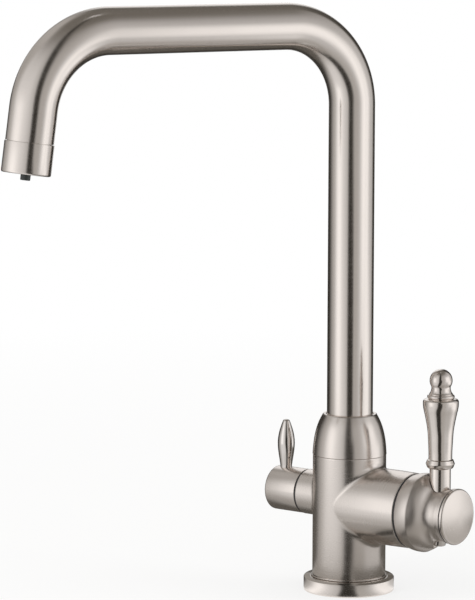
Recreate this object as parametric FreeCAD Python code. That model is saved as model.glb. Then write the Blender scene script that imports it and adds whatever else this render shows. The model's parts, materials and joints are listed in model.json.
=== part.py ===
import FreeCAD, Part
import math
import os

from FreeCAD import Vector

# Three way kitchen mixer tap. Millimetres, +Z up. The origin is the centre of the base
# flange's underside, on the worktop. The column stands on +Z, the mixer valve lies on +X,
# the filtered water valve on -X, and the user stands at -Y.

# Column and base flange
column_r = 22.4
column_top_z = 84.0
foot_ring_r = 23.2
foot_ring_h = 1.3
flange_r = 27.7
flange_h = 8.6
flange_round = 1.0
gasket_inner_r = 20.5
gasket_outer_r = 25.5
gasket_t = 2.0

# Threaded shank, its nut and its washers under the worktop
shank_r = 16.0
shank_wall = 2.6
shank_reach = 62.0
shank_engagement = 13.4
thread_chamfer = 0.8
thread_spare = 10.0
rubber_washer_t = 3.0
steel_washer_t = 2.0
washer_r = 26.0
nut_t = 9.0
nut_across_flats = 44.0
nut_chamfer = 1.6

# Hose ports in the roof of the shank's bore
port_r = 4.5
port_length = 12.0
port_x = 4.0
port_y = 6.2
filter_port_x = -7.4

# Clearances and small details that pieces share
thread_gap = 0.05
running_gap = 0.06
seat_gap = 0.05
slip_gap = 0.1
free_gap = 0.3
edge_break = 0.25
overrun = 1.0

# Mixer housing, an arm of the casting on +X
mixer_z = 54.5
arm_root_inset = 0.7
arm_swell = 0.25
arm_swell_x = 32.0
arm_mouth_x = 48.9
arm_blend_r = 3.0
mouth_depth = 9.1
mouth_lip = 0.45
seat_floor_x = 17.5

# Mixer lever: a ball hub that swings in the housing's mouth
ball_r = 23.8
tilt_range = 18.0
hub_edge_angle = 49.0
hub_wall = 2.4
hub_length = 20.6
hub_waist_r = 15.9
hub_bead = 0.7
hub_bead_l = 1.9
cap_proud = 0.3
cap_t = 2.6
cap_dome = 0.9
cap_spigot_r = 12.0
cap_spigot_t = 2.4

# Mixer handle, turned pieces on one tie rod
handle_offset = 9.9
handle_seat = 9.0
stem_r = 6.35
stem_top = 28.4
grip_l = 41.7
grip_bead_h = 4.4
grip_bead_r = 8.75
grip_waist_r = 7.1
grip_swell_r = 10.75
grip_round = 1.7
finial_l = 18.0
finial_bead_r = 8.35
finial_bead_h = 3.5
finial_neck_r = 5.75
ball_finial_r = 6.85
tie_rod_r = 2.5
tie_rod_foot = 5.7
tie_rod_cover = 9.6
grub_r = 3.0
grub_length = 6.0
hub_key_flats = 3.0
hub_key_depth = 2.5
plug_r = 3.7
plug_proud = 3.0

# Mixing cartridge
case_r = 17.5
case_wall = 2.1
case_shoulder_r = 15.6
case_length = 18.9
case_front_t = 2.4
neck_r = 11.0
neck_length = 11.6
carrier_r = 9.2
base_t = 4.0
port_seal_t = 1.2
port_seal_w = 1.3
disc_t = 3.0
fixed_disc_r = 14.6
moving_disc_r = 10.4
moving_disc_rim = 3.4
driver_t = 3.4
driver_r = 8.6
cartridge_nut_r = 19.0
cartridge_nut_t = 5.6
key_slot_w = 4.0

# Lever spindle and the carrier's ears
arm_half_h = 3.0
arm_shoulder = 4.0
lever_tip_r = 2.9
lever_tip_neck_r = 1.9
lever_tip_flat = 1.6
ear_gap = 3.7
ear_t = 3.6
ear_half_h = 5.5
ear_reach = 4.5
ear_relief = 2.0
pin_r = 2.0
eye_r = 5.0
square_half = 4.0
square_cover = 1.2

# Water ways in the casting
feed_r = 3.0
feed_drop = 5.0
outlet_r = 3.4
outlet_rise = 8.0
outlet_x = 8.0
filter_way_r = 2.0
filter_way_step = 4.0
filter_feed_r = 2.6
shank_relief = 0.4

# Filtered water valve, an arm of the casting on -X
filter_z = 57.0
filter_arm_r = 13.8
filter_arm_x = -31.7
filter_arm_blend_r = 1.6
filter_bore_depth = 16.2
headwork_r = 9.0
headwork_flange_r = 10.0
headwork_flange_t = 3.0
headwork_neck_l = 9.3
headwork_neck_r = 6.6
spindle_r = 4.0
spindle_plate_t = 2.0
disc_pocket = 2.4
filter_disc_r = 7.0
filter_disc_t = 2.4
filter_seal_t = 0.9
filter_tang_half = 1.2
knob_r = 13.65
knob_gap = 0.6
knob_length = 23.5
knob_round = 1.3
knob_bore_r = 10.5
knob_web_gap = 1.5
filter_lever_inset = 6.7
filter_lever_length = 43.3
filter_lever_foot_r = 3.6
filter_lever_belly_r = 5.25
filter_lever_tip_r = 2.05
filter_lever_seat = 9.2
filter_grub_r = 2.0
filter_grub_length = 5.5
filter_grub_offset = 2.6
filter_key_flats = 2.0
filter_key_depth = 2.0

# Spout swivel in the top of the column
socket_r = 11.6
socket_depth = 16.0
boss_r = 18.0
boss_h = 6.3
swivel_flange_r = 15.7
swivel_flange_t = 3.0
spigot_l = 10.0
spigot_wall = 2.15
insert_foot_gap = 1.0
insert_foot_taper = 3.0
insert_bore_gap = 1.2
glide_t = 1.5
glide_recess_r = 16.2
o_ring_r = 1.0
o_ring_pitch = 6.0
o_ring_start = 3.0
collar_base_r = 22.6
collar_h = 25.0
collar_lip_w = 1.85
collar_land = 6.0
collar_shoulder_t = 3.0
collar_hollow_r = 17.0

# Spout: one bent tube with the filtered water line inside it
tube_r = 14.0
tube_wall = 1.3
spout_top_z = 345.4
spout_reach = 211.0
near_bend_r = 48.0
far_bend_r = 50.0
leg_tilt = 8.05
spout_heading = 19.5
outlet_drop = 80.4
line_r = 3.0
line_bore_r = 2.2
cuff_wall = 1.34
cuff_length = 9.5
cuff_cap = 3.0
line_gap = 0.5
nipple_drop = 4.0
nipple_seat = 1.2

# Aerator at the end of the spout, along the leg from its outlet face
housing_r = 14.4
housing_l = 18.4
housing_round = 1.1
housing_wall = 2.4
housing_bore_depth = 12.2
housing_neck_r = 10.2
housing_neck_l = 8.0
insert_inset = 1.4
insert_t = 7.6
insert_step = 0.8
insert_step_w = 1.4
insert_holes = 12
insert_hole_r = 1.2
insert_hole_pitch_r = 7.4
washer_t = 2.4
nozzle_r = 2.9
nozzle_proud = 3.5
nozzle_bore_r = 2.0
nozzle_chamfer = 0.4
nozzle_floor = 13.9
nozzle_cup_l = 6.1
nozzle_cup_wall = 1.3

# Places worked out from the driving sizes: the column and its foot
shank_bore_r = shank_r - shank_wall
shank_top_z = flange_h + shank_engagement
port_roof_z = shank_top_z + shank_relief
worktop_space = shank_reach - thread_spare - nut_t - steel_washer_t - rubber_washer_t

# The mixer valve, from its seat in the casting out to the lever's cap
pivot_x = arm_mouth_x + mouth_depth
mouth_bore_r = math.sqrt((ball_r + free_gap) ** 2 - mouth_depth ** 2)
arm_mouth_r = mouth_bore_r + mouth_lip
disc_floor_x = seat_floor_x + base_t
moving_disc_x = disc_floor_x + disc_t + seat_gap
driver_x = moving_disc_x + disc_t + seat_gap
drive_x = driver_x + driver_t / 2
drive_arm = pivot_x - drive_x
carrier_flange_x = driver_x + driver_t + seat_gap
case_inside_r = case_r - case_wall
shoulder_inside_r = case_shoulder_r - case_wall
case_front_x = seat_floor_x + case_length
case_ceiling_x = case_front_x - case_front_t
neck_end_x = case_front_x + neck_length
nut_seat_x = case_front_x - cartridge_nut_t
half_tilt = math.radians(tilt_range / 2)
disc_offset = drive_arm * math.sin(half_tilt)
disc_travel = drive_arm * math.radians(tilt_range)
ear_end_x = pivot_x + ear_reach
hub_floor_x = ear_end_x + ear_relief
hub_end_x = pivot_x + hub_length
square_end_x = hub_end_x - cap_spigot_t - square_cover
cap_r = hub_waist_r + hub_bead + cap_proud

# The mixer handle, up its own axis
handle_x = pivot_x + handle_offset
grip_bottom_z = mixer_z + stem_top
grip_top_z = grip_bottom_z + grip_l
finial_top_z = grip_top_z + finial_l
tie_rod_bottom_z = mixer_z + tie_rod_foot
tie_rod_top_z = finial_top_z - tie_rod_cover
rod_way_r = tie_rod_r + seat_gap
grub_foot_z = mixer_z - square_half - seat_gap - grub_length
plug_top_z = grub_foot_z - seat_gap

# The filtered water valve, from its seat out to the knob's end
filter_floor_x = filter_arm_x + filter_bore_depth
filter_fixed_end_x = filter_floor_x - filter_seal_t
filter_fixed_start_x = filter_fixed_end_x - filter_disc_t
filter_moving_end_x = filter_fixed_start_x - seat_gap
filter_moving_start_x = filter_moving_end_x - filter_disc_t
headwork_end_x = filter_arm_x - headwork_neck_l
knob_start_x = filter_arm_x - knob_gap
knob_end_x = knob_start_x - knob_length
knob_web_x = headwork_end_x - knob_web_gap
filter_lever_x = knob_end_x + filter_lever_inset
filter_grub_x = filter_lever_x + filter_grub_offset
spindle_end_x = filter_lever_x - filter_grub_r

# The spout's swivel, from the socket's floor up
socket_floor_z = column_top_z - socket_depth
boss_top_z = column_top_z + boss_h
lower_glide_z = column_top_z - glide_t
swivel_flange_z = column_top_z + running_gap
swivel_flange_top_z = swivel_flange_z + swivel_flange_t
upper_glide_z = swivel_flange_top_z + running_gap
collar_shoulder_z = boss_top_z + seat_gap
collar_top_z = column_top_z + collar_h
tube_bore_r = tube_r - tube_wall
insert_body_r = socket_r - running_gap
insert_foot_z = socket_floor_z + insert_foot_gap
cuff_r = line_r + running_gap + cuff_wall
insert_bore_r = cuff_r + insert_bore_gap
nipple_top_z = column_top_z - nipple_drop
nipple_foot_z = filter_z + filter_way_step + filter_way_r + nipple_seat
line_foot_z = nipple_top_z + line_gap

# The spout's centre line
heading = math.radians(spout_heading)
tilt = math.radians(leg_tilt)
out_dir = Vector(-math.sin(heading), -math.cos(heading), 0)
leg_dir = out_dir * math.sin(tilt) + Vector(0, 0, -math.cos(tilt))
near_corner = Vector(0, 0, spout_top_z)
far_corner = near_corner + out_dir * spout_reach
outlet_point = far_corner + leg_dir * (outlet_drop / math.cos(tilt))
housing_bore_r = tube_r - housing_wall
insert_r = housing_bore_r - slip_gap * 2
insert_top = insert_inset + insert_t


def edge_chain(start, steps):
    """Edges of a flat profile. A step is one point for a line, or ("arc", middle, end),
    or ("curve", points...) for a smooth curve that starts at the last point."""
    edges = []
    here = start
    for step in steps:
        if step[0] == "arc":
            edges.append(Part.Arc(here, step[1], step[2]).toShape())
            here = step[2]
        elif step[0] == "curve":
            curve = Part.BSplineCurve()
            curve.interpolate([here] + list(step[1:]))
            edges.append(curve.toShape())
            here = step[-1]
        else:
            edges.append(Part.LineSegment(here, step[0]).toShape())
            here = step[0]
    return edges, here


def turned(origin, along, outward, start, steps):
    """A turned piece. Profile points are (distance along the axis, radius)."""
    def place(point):
        return origin + along * point[0] + outward * point[1]

    def place_step(step):
        if step[0] in ("arc", "curve"):
            return (step[0],) + tuple(place(p) for p in step[1:])
        return (place(step),)

    edges, end = edge_chain(place(start), [place_step(s) for s in steps])
    if (end - place(start)).Length > 1e-6:
        edges.append(Part.LineSegment(end, place(start)).toShape())
    face = Part.Face(Part.Wire(edges))
    solid = face.revolve(origin, along, 360)
    if solid.Volume < 0:
        solid.reverse()
    return solid


def turned_z(start, steps, x=0.0, y=0.0):
    return turned(Vector(x, y, 0), Vector(0, 0, 1), Vector(1, 0, 0), start, steps)


def turned_x(z, start, steps):
    return turned(Vector(0, 0, z), Vector(1, 0, 0), Vector(0, 0, 1), start, steps)


def corner_round(corner, before, after):
    """Profile steps to a square corner that is rounded between two points near it."""
    share = 2 - math.sqrt(2)
    middle = tuple(c + ((b + a) / 2 - c) * share for c, b, a in zip(corner, before, after))
    return [before, ("arc", middle, after)]


def dome(foot, radius, top):
    """Profile step from a rim at (foot, radius) over a spherical cap to its pole."""
    height = top - foot
    ball = (radius ** 2 + height ** 2) / (2 * abs(height))
    side = math.copysign(1, height)
    half = math.asin(min(1, radius / ball)) / 2
    middle = (top - side * ball * (1 - math.cos(half)), ball * math.sin(half))
    return ("arc", middle, (top, 0))


def ring_z(z0, z1, inner, outer, x=0.0, y=0.0):
    solid = Part.makeCylinder(outer, z1 - z0, Vector(x, y, z0))
    if inner > 0:
        solid = solid.cut(Part.makeCylinder(inner, z1 - z0, Vector(x, y, z0)))
    return solid


def ring_x(x0, x1, inner, outer, z, y=0.0):
    axis = Vector(1, 0, 0)
    solid = Part.makeCylinder(outer, x1 - x0, Vector(x0, y, z), axis)
    if inner > 0:
        solid = solid.cut(Part.makeCylinder(inner, x1 - x0, Vector(x0, y, z), axis))
    return solid


def block(x0, x1, half_y, z0, z1, y=0.0):
    """A box from x0 to x1 and z0 to z1, half_y to each side of y."""
    return Part.makeBox(x1 - x0, 2 * half_y, z1 - z0, Vector(x0, y - half_y, z0))


def hexagon(across_flats, x, z0, height):
    """An upright six sided prism."""
    corner = across_flats / 2 / math.cos(math.pi / 6)
    points = [Vector(x + corner * math.cos(math.pi / 3 * k),
                     corner * math.sin(math.pi / 3 * k), z0) for k in range(7)]
    return Part.Face(Part.makePolygon(points)).extrude(Vector(0, 0, height))


def grub_screw(x, foot_z, radius, length, key_flats, key_depth):
    """An upright grub screw with its key socket at the lower end."""
    socket = hexagon(key_flats, x, foot_z - overrun, key_depth + overrun)
    return ring_z(foot_z, foot_z + length, 0, radius, x).cut(socket)


def bend(before, corner, after, radius):
    """Start, middle and end of the arc that rounds a corner of the centre line."""
    a = (before - corner).normalize()
    b = (after - corner).normalize()
    half = a.getAngle(b) / 2
    half_way = (a + b).normalize()
    centre = corner + half_way * (radius / math.sin(half))
    start = corner + a * (radius / math.tan(half))
    end = corner + b * (radius / math.tan(half))
    return start, centre - half_way * radius, end


def spout_path(start_z, end_along_leg):
    """The centre line from a height on the riser to a distance short of the outlet."""
    start = Vector(0, 0, start_z)
    end = outlet_point - leg_dir * end_along_leg
    near = bend(start, near_corner, far_corner, near_bend_r)
    far = bend(near_corner, far_corner, outlet_point, far_bend_r)
    edges = [
        Part.LineSegment(start, near[0]).toShape(),
        Part.Arc(*near).toShape(),
        Part.LineSegment(near[2], far[0]).toShape(),
        Part.Arc(*far).toShape(),
        Part.LineSegment(far[2], end).toShape(),
    ]
    return Part.Wire(edges)


def swept(path, start_z, radius):
    circle = Part.Wire([Part.makeCircle(radius, Vector(0, 0, start_z), Vector(0, 0, 1))])
    solid = path.makePipeShell([circle], True, False)
    if solid.Volume < 0:
        solid.reverse()
    return solid


def bent_tube(start_z, end_along_leg, outer, inner):
    path = spout_path(start_z, end_along_leg)
    return swept(path, start_z, outer).cut(swept(path, start_z, inner))


def at_outlet(shape):
    """Puts a piece made about +Z from its outlet face onto the end of the spout's leg."""
    turn = FreeCAD.Rotation(Vector(0, 0, 1), leg_dir * -1)
    placed = shape.copy()
    placed.Placement = FreeCAD.Placement(outlet_point, turn).multiply(placed.Placement)
    return placed


def make_body_casting():
    """The column with both valve arms, blended together, then drilled and turned out."""
    column = turned_z((flange_h, 0), [
        (flange_h, foot_ring_r),
        (flange_h + foot_ring_h, foot_ring_r),
        (flange_h + foot_ring_h, column_r),
        (column_top_z - edge_break, column_r),
        (column_top_z, column_r - edge_break),
        (column_top_z, boss_r),
        (boss_top_z, boss_r),
        (boss_top_z, 0),
    ])
    root_r = column_r - arm_root_inset
    swell_r = arm_mouth_r + arm_swell
    front = arm_mouth_x - arm_swell_x
    arm = turned_x(mixer_z, (0, 0), [
        (0, root_r),
        ("curve",
         (arm_swell_x * 0.45, root_r + (swell_r - root_r) * 0.6),
         (arm_swell_x, swell_r),
         (arm_swell_x + front * 0.55, swell_r - arm_swell * 0.4),
         (arm_mouth_x - edge_break, arm_mouth_r)),
        (arm_mouth_x, arm_mouth_r - edge_break),
        (arm_mouth_x, 0),
    ])
    filter_arm = turned_x(filter_z, (filter_arm_x, 0), [
        (filter_arm_x, filter_arm_r - edge_break),
        (filter_arm_x + edge_break, filter_arm_r),
        (0, filter_arm_r),
        (0, 0),
    ])
    body = column.fuse([arm, filter_arm]).removeSplitter()
    return blend_arms(body).cut(casting_bores())


def on_column(edge):
    """True where every point of an edge lies on the column's round face, off its ends."""
    lowest = flange_h + foot_ring_h + overrun
    for point in edge.discretize(9):
        if abs(math.hypot(point.x, point.y) - column_r) > 0.02:
            return False
        if not lowest < point.z < column_top_z - overrun:
            return False
    return True


def blend_arms(body):
    mixer_edges = [e for e in body.Edges if on_column(e) and e.CenterOfMass.x > 0]
    body = body.makeFillet(arm_blend_r, mixer_edges)
    filter_edges = [e for e in body.Edges if on_column(e) and e.CenterOfMass.x < 0]
    return body.makeFillet(filter_arm_blend_r, filter_edges)


def drilled_x(x0, x1, radius, z, y=0.0):
    """A drilled way along X that runs a little past x1."""
    length = abs(x1 - x0) + overrun
    towards = Vector(math.copysign(1, x1 - x0), 0, 0)
    return Part.makeCylinder(radius, length, Vector(x0, y, z), towards)


def mixed_water_ways():
    """Two inlet ports, their feeds to the mixer seat and the way up to the spout."""
    feed_z = mixer_z - feed_drop
    outlet_z = mixer_z + outlet_rise
    tools = []
    for y in (-port_y, port_y):
        tools.append(ring_z(port_roof_z - overrun, port_roof_z + port_length, 0, port_r,
                            port_x, y))
        tools.append(ring_z(port_roof_z, feed_z + feed_r + overrun, 0, feed_r, port_x, y))
        tools.append(drilled_x(port_x, seat_floor_x, feed_r, feed_z, y))
    tools.append(drilled_x(outlet_x, seat_floor_x, outlet_r, outlet_z))
    tools.append(ring_z(outlet_z - outlet_r - overrun, socket_floor_z + overrun, 0, outlet_r,
                        outlet_x))
    return tools


def filtered_water_ways():
    """The third port, its feed to the filter valve and the way up to the nipple."""
    inlet_z = filter_z - filter_way_step
    exit_z = filter_z + filter_way_step
    return [
        ring_z(port_roof_z - overrun, port_roof_z + port_length, 0, port_r, filter_port_x),
        ring_z(port_roof_z, inlet_z + filter_way_r + overrun, 0, filter_feed_r,
               filter_port_x),
        drilled_x(filter_port_x, filter_floor_x, filter_way_r, inlet_z),
        drilled_x(0, filter_floor_x, filter_way_r, exit_z),
        ring_z(exit_z - filter_way_r - overrun, socket_floor_z + overrun, 0, filter_way_r),
        ring_z(nipple_foot_z, socket_floor_z + overrun, 0, line_r + thread_gap),
    ]


def casting_bores():
    """Everything drilled, turned or cored out of the casting."""
    tools = [
        ring_z(flange_h - overrun, port_roof_z, 0, shank_r + thread_gap),
        ring_x(seat_floor_x, arm_mouth_x, 0, case_r + slip_gap, mixer_z),
        ring_x(nut_seat_x, arm_mouth_x, 0, cartridge_nut_r + thread_gap, mixer_z),
        Part.makeSphere(ball_r + free_gap, Vector(pivot_x, 0, mixer_z)),
        ring_z(socket_floor_z, boss_top_z, 0, socket_r),
        ring_z(lower_glide_z, boss_top_z, 0, glide_recess_r),
        ring_x(filter_arm_x - overrun, filter_floor_x, 0, headwork_r + thread_gap, filter_z),
    ]
    tool = tools[0]
    for extra in tools[1:] + mixed_water_ways() + filtered_water_ways():
        tool = tool.fuse(extra)
    return tool


def make_base_flange():
    """The flange that stands on the worktop, with a recess for its gasket."""
    bore_r = shank_r + slip_gap * 2
    rim = corner_round((flange_h, flange_r), (flange_h - flange_round, flange_r),
                       (flange_h, flange_r - flange_round))
    solid = turned_z((0, bore_r), [
        (0, flange_r - edge_break),
        (edge_break, flange_r),
        *rim,
        (flange_h, bore_r),
    ])
    return solid.cut(ring_z(0, gasket_t, gasket_inner_r, gasket_outer_r))


def make_base_gasket():
    return ring_z(0, gasket_t - seat_gap, gasket_inner_r + slip_gap,
                  gasket_outer_r - slip_gap)


def make_mounting_shank():
    return turned_z((-shank_reach, shank_bore_r), [
        (-shank_reach, shank_r - thread_chamfer),
        (thread_chamfer - shank_reach, shank_r),
        (shank_top_z - thread_chamfer, shank_r),
        (shank_top_z, shank_r - thread_chamfer),
        (shank_top_z, shank_bore_r),
    ])


def make_rubber_washer():
    top = -worktop_space
    return ring_z(top - rubber_washer_t, top, shank_r + free_gap, washer_r)


def make_steel_washer():
    top = -worktop_space - rubber_washer_t
    return ring_z(top - steel_washer_t, top, shank_r + free_gap, washer_r)


def make_mounting_nut():
    """Hexagon nut with its lower corners chamfered."""
    top = -worktop_space - rubber_washer_t - steel_washer_t
    foot = top - nut_t
    corner_r = nut_across_flats / 2 / math.cos(math.pi / 6)
    crown = turned_z((foot, 0), [
        (foot, corner_r - nut_chamfer),
        (foot + nut_chamfer + overrun, corner_r + overrun),
        (top, corner_r + overrun),
        (top, 0),
    ])
    nut = hexagon(nut_across_flats, 0, foot, nut_t).common(crown)
    return nut.cut(ring_z(foot, top, 0, shank_r + running_gap))


def make_spout_collar():
    """The ogive ring screwed onto the column, which holds the swivel down."""
    foot = column_top_z + seat_gap
    bore_r = tube_r + free_gap
    lip_r = bore_r + collar_lip_w
    drop = collar_base_r - lip_r
    shoulder_top = collar_shoulder_z + collar_shoulder_t
    land_foot = collar_top_z - collar_land
    return turned_z((foot, boss_r + thread_gap), [
        (foot, collar_base_r - edge_break),
        (foot + edge_break, collar_base_r),
        ("curve",
         (foot + collar_h * 0.33, collar_base_r - drop * 0.109),
         (foot + collar_h * 0.58, collar_base_r - drop * 0.3),
         (foot + collar_h * 0.83, collar_base_r - drop * 0.639),
         (collar_top_z - edge_break, lip_r + edge_break)),
        (collar_top_z, lip_r),
        (collar_top_z, bore_r + edge_break),
        (collar_top_z - edge_break, bore_r),
        (land_foot, bore_r),
        (land_foot - (collar_hollow_r - bore_r) / 2, collar_hollow_r),
        (shoulder_top, collar_hollow_r),
        (shoulder_top, bore_r),
        (collar_shoulder_z, bore_r),
        (collar_shoulder_z, boss_r + thread_gap),
    ])


def make_lower_glide_ring():
    return ring_z(lower_glide_z, column_top_z, socket_r + slip_gap,
                  glide_recess_r - slip_gap)


def make_upper_glide_ring():
    return ring_z(upper_glide_z, collar_shoulder_z - seat_gap, tube_r + running_gap,
                  glide_recess_r - slip_gap)


def make_filter_nipple():
    return ring_z(nipple_foot_z + seat_gap, nipple_top_z, filter_way_r, line_r)


def make_swivel_insert():
    """Brass spigot brazed into the foot of the riser, with two O-ring grooves."""
    groove_r = insert_body_r - 2 * o_ring_r - seat_gap
    half = o_ring_r + slip_gap
    spigot_top = swivel_flange_top_z + spigot_l
    spigot_r = tube_bore_r - seat_gap
    grooves = []
    for height in o_ring_heights():
        grooves += [
            (height - half, insert_body_r),
            (height - half, groove_r),
            (height + half, groove_r),
            (height + half, insert_body_r),
        ]
    return turned_z((insert_foot_z, insert_bore_r), [
        (insert_foot_z, insert_body_r - edge_break),
        (insert_foot_z + edge_break, insert_body_r),
        *grooves,
        (swivel_flange_z, insert_body_r),
        (swivel_flange_z, swivel_flange_r),
        (swivel_flange_top_z, swivel_flange_r),
        (swivel_flange_top_z, spigot_r),
        (spigot_top, spigot_r),
        (spigot_top, spigot_r - spigot_wall),
        (swivel_flange_z, spigot_r - spigot_wall),
        (swivel_flange_z - insert_foot_taper, insert_bore_r),
    ])


def o_ring_heights():
    first = insert_foot_z + o_ring_start
    return first, first + o_ring_pitch


def make_swivel_o_rings():
    centre_r = insert_body_r - o_ring_r
    rings = [Part.makeTorus(centre_r, o_ring_r, Vector(0, 0, z)) for z in o_ring_heights()]
    return Part.makeCompound(rings)


def make_spout_tube():
    return bent_tube(swivel_flange_top_z + seat_gap, housing_l + seat_gap, tube_r, tube_bore_r)


def make_filter_line():
    """Filtered water stays apart from mixed water in its own line inside the spout. Its
    cuff turns on the nipple when the spout swivels."""
    cuff_foot = line_foot_z + cuff_cap - cuff_length
    line = bent_tube(line_foot_z, nozzle_floor + seat_gap, line_r, line_bore_r)
    cuff = ring_z(cuff_foot, line_foot_z + cuff_cap, 0, cuff_r)
    way = ring_z(cuff_foot, line_foot_z, 0, line_r + running_gap)
    way = way.fuse(ring_z(line_foot_z - overrun, line_foot_z + cuff_cap, 0, line_bore_r))
    return line.fuse(cuff).cut(way).removeSplitter()


def make_aerator_housing():
    """The end fitting, with a neck that is pressed into the tube."""
    neck_r = tube_bore_r - thread_gap
    neck_top = housing_l + housing_neck_l
    rim = corner_round((0, housing_r), (0, housing_r - housing_round),
                       (housing_round, housing_r))
    return at_outlet(turned_z((0, housing_bore_r), [
        *rim,
        (housing_l - edge_break, housing_r),
        (housing_l, housing_r - edge_break),
        (housing_l, neck_r),
        (neck_top, neck_r),
        (neck_top, housing_neck_r),
        (housing_bore_depth, housing_neck_r),
        (housing_bore_depth, housing_bore_r),
    ]))


def make_aerator_insert():
    """Jet former: a disc with a ring of jet holes round the filter nozzle."""
    bore_r = nozzle_r + seat_gap
    solid = turned_z((insert_inset, bore_r), [
        (insert_inset, insert_r - insert_step_w),
        (insert_inset + insert_step, insert_r - insert_step_w),
        (insert_inset + insert_step, insert_r),
        (insert_top, insert_r),
        (insert_top, bore_r),
    ])
    for k in range(insert_holes):
        angle = 2 * math.pi * k / insert_holes
        x = insert_hole_pitch_r * math.cos(angle)
        y = insert_hole_pitch_r * math.sin(angle)
        solid = solid.cut(ring_z(insert_inset, insert_top, 0, insert_hole_r, x, y))
    return at_outlet(solid)


def make_aerator_washer():
    foot = insert_top + seat_gap
    inner = housing_neck_r - insert_step_w
    return at_outlet(ring_z(foot, foot + washer_t, inner, insert_r))


def make_filter_nozzle():
    """Separate outlet for filtered water, through the middle of the aerator."""
    collar_z = insert_top + seat_gap
    cup_r = line_r + nozzle_cup_wall
    cup_top = nozzle_floor + nozzle_cup_l
    return at_outlet(turned_z((-nozzle_proud, nozzle_bore_r), [
        (-nozzle_proud, nozzle_r - nozzle_chamfer),
        (nozzle_chamfer - nozzle_proud, nozzle_r),
        (collar_z, nozzle_r),
        (collar_z, cup_r),
        (cup_top, cup_r),
        (cup_top, line_r + seat_gap),
        (nozzle_floor, line_r + seat_gap),
        (nozzle_floor, nozzle_bore_r),
    ]))


def cartridge_ways():
    """Side, height and radius of the two inlets and the outlet through the cartridge."""
    return [(-port_y, -feed_drop, feed_r - slip_gap * 2),
            (port_y, -feed_drop, feed_r - slip_gap * 2),
            (0, outlet_rise, outlet_r - slip_gap * 2)]


def make_cartridge_base():
    """Foot of the cartridge, with the three water ways and their seal seats."""
    solid = ring_x(seat_floor_x + seat_gap, disc_floor_x - seat_gap, 0,
                   case_inside_r - seat_gap, mixer_z)
    seat_end = seat_floor_x + seat_gap + port_seal_t
    for y, rise, radius in cartridge_ways():
        z = mixer_z + rise
        solid = solid.cut(ring_x(seat_floor_x, disc_floor_x, 0, radius, z, y))
        solid = solid.cut(ring_x(seat_floor_x, seat_end, 0, radius + port_seal_w + slip_gap * 2,
                                 z, y))
    return solid


def make_cartridge_seals():
    seals = []
    for y, rise, radius in cartridge_ways():
        inner = radius + slip_gap
        seals.append(ring_x(seat_floor_x + seat_gap, seat_floor_x + port_seal_t, inner,
                            inner + port_seal_w, mixer_z + rise, y))
    return Part.makeCompound(seals)


def make_fixed_disc():
    """Fixed ceramic disc; its ways are a little smaller than the base's."""
    solid = ring_x(disc_floor_x, disc_floor_x + disc_t, 0, fixed_disc_r, mixer_z)
    for y, rise, radius in cartridge_ways():
        solid = solid.cut(ring_x(disc_floor_x, disc_floor_x + disc_t, 0, radius - slip_gap * 4,
                                 mixer_z + rise, y))
    return solid


def make_moving_disc():
    """Moving ceramic disc, at the bottom of its travel when the lever is shut."""
    z = mixer_z - disc_offset
    solid = ring_x(moving_disc_x, moving_disc_x + disc_t, 0, moving_disc_r, z)
    chamber_r = moving_disc_r - moving_disc_rim
    return solid.cut(ring_x(moving_disc_x, moving_disc_x + disc_t * 0.55, 0, chamber_r, z))


def make_disc_driver():
    """Plastic driver clipped on the moving disc; the lever's tip sits in its hole."""
    return ring_x(driver_x, driver_x + driver_t, lever_tip_r + edge_break, driver_r,
                  mixer_z - disc_offset)


def make_cartridge_case():
    """Cartridge case: a cup over the discs with a long neck for the carrier."""
    foot = seat_floor_x + seat_gap
    step_x = nut_seat_x - case_wall / 2
    return turned_x(mixer_z, (foot, case_inside_r), [
        (foot, case_r),
        (nut_seat_x, case_r),
        (nut_seat_x, case_shoulder_r),
        (case_front_x, case_shoulder_r),
        (case_front_x, neck_r),
        (neck_end_x - edge_break, neck_r),
        (neck_end_x, neck_r - edge_break),
        (neck_end_x, carrier_r + running_gap),
        (case_ceiling_x, carrier_r + running_gap),
        (case_ceiling_x, shoulder_inside_r),
        (step_x, shoulder_inside_r),
        (step_x, case_inside_r),
    ])


def make_cartridge_nut():
    """Brass ring nut that holds the cartridge in the housing, with key slots."""
    solid = ring_x(nut_seat_x + seat_gap, case_front_x, case_shoulder_r + seat_gap,
                   cartridge_nut_r, mixer_z)
    slot = block(case_front_x - cartridge_nut_t / 2, case_front_x, key_slot_w / 2,
                 mixer_z - cartridge_nut_r, mixer_z + cartridge_nut_r)
    for turn in (0, 60, 120):
        cutter = slot.copy()
        cutter.rotate(Vector(0, 0, mixer_z), Vector(1, 0, 0), turn)
        solid = solid.cut(cutter)
    return solid


def make_lever_carrier():
    """Turns in the case's neck for temperature and carries the lever's pivot pin."""
    flange_end_x = case_ceiling_x - running_gap
    shaft_end_x = neck_end_x + overrun
    shaft = turned_x(mixer_z, (carrier_flange_x, 0), [
        (carrier_flange_x, shoulder_inside_r - slip_gap),
        (flange_end_x, shoulder_inside_r - slip_gap),
        (flange_end_x, carrier_r),
        (shaft_end_x, carrier_r),
        (shaft_end_x, 0),
    ])
    ears = [block(neck_end_x, ear_end_x, ear_t / 2, mixer_z - ear_half_h,
                  mixer_z + ear_half_h, side * (ear_gap + ear_t / 2)) for side in (-1, 1)]
    swing = disc_offset + arm_half_h + free_gap * 2
    slot = block(carrier_flange_x - overrun, ear_end_x, ear_gap, mixer_z - swing,
                 mixer_z + swing)
    return shaft.fuse(ears).cut(slot).cut(pin_hole(seat_gap))


def pin_hole(gap):
    reach = ear_gap + ear_t + overrun
    return Part.makeCylinder(pin_r + gap, 2 * reach, Vector(pivot_x, -reach, mixer_z),
                             Vector(0, 1, 0))


def make_pivot_pin():
    half = ear_gap + ear_t - slip_gap
    return Part.makeCylinder(pin_r, 2 * half, Vector(pivot_x, -half, mixer_z),
                             Vector(0, 1, 0))


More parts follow.
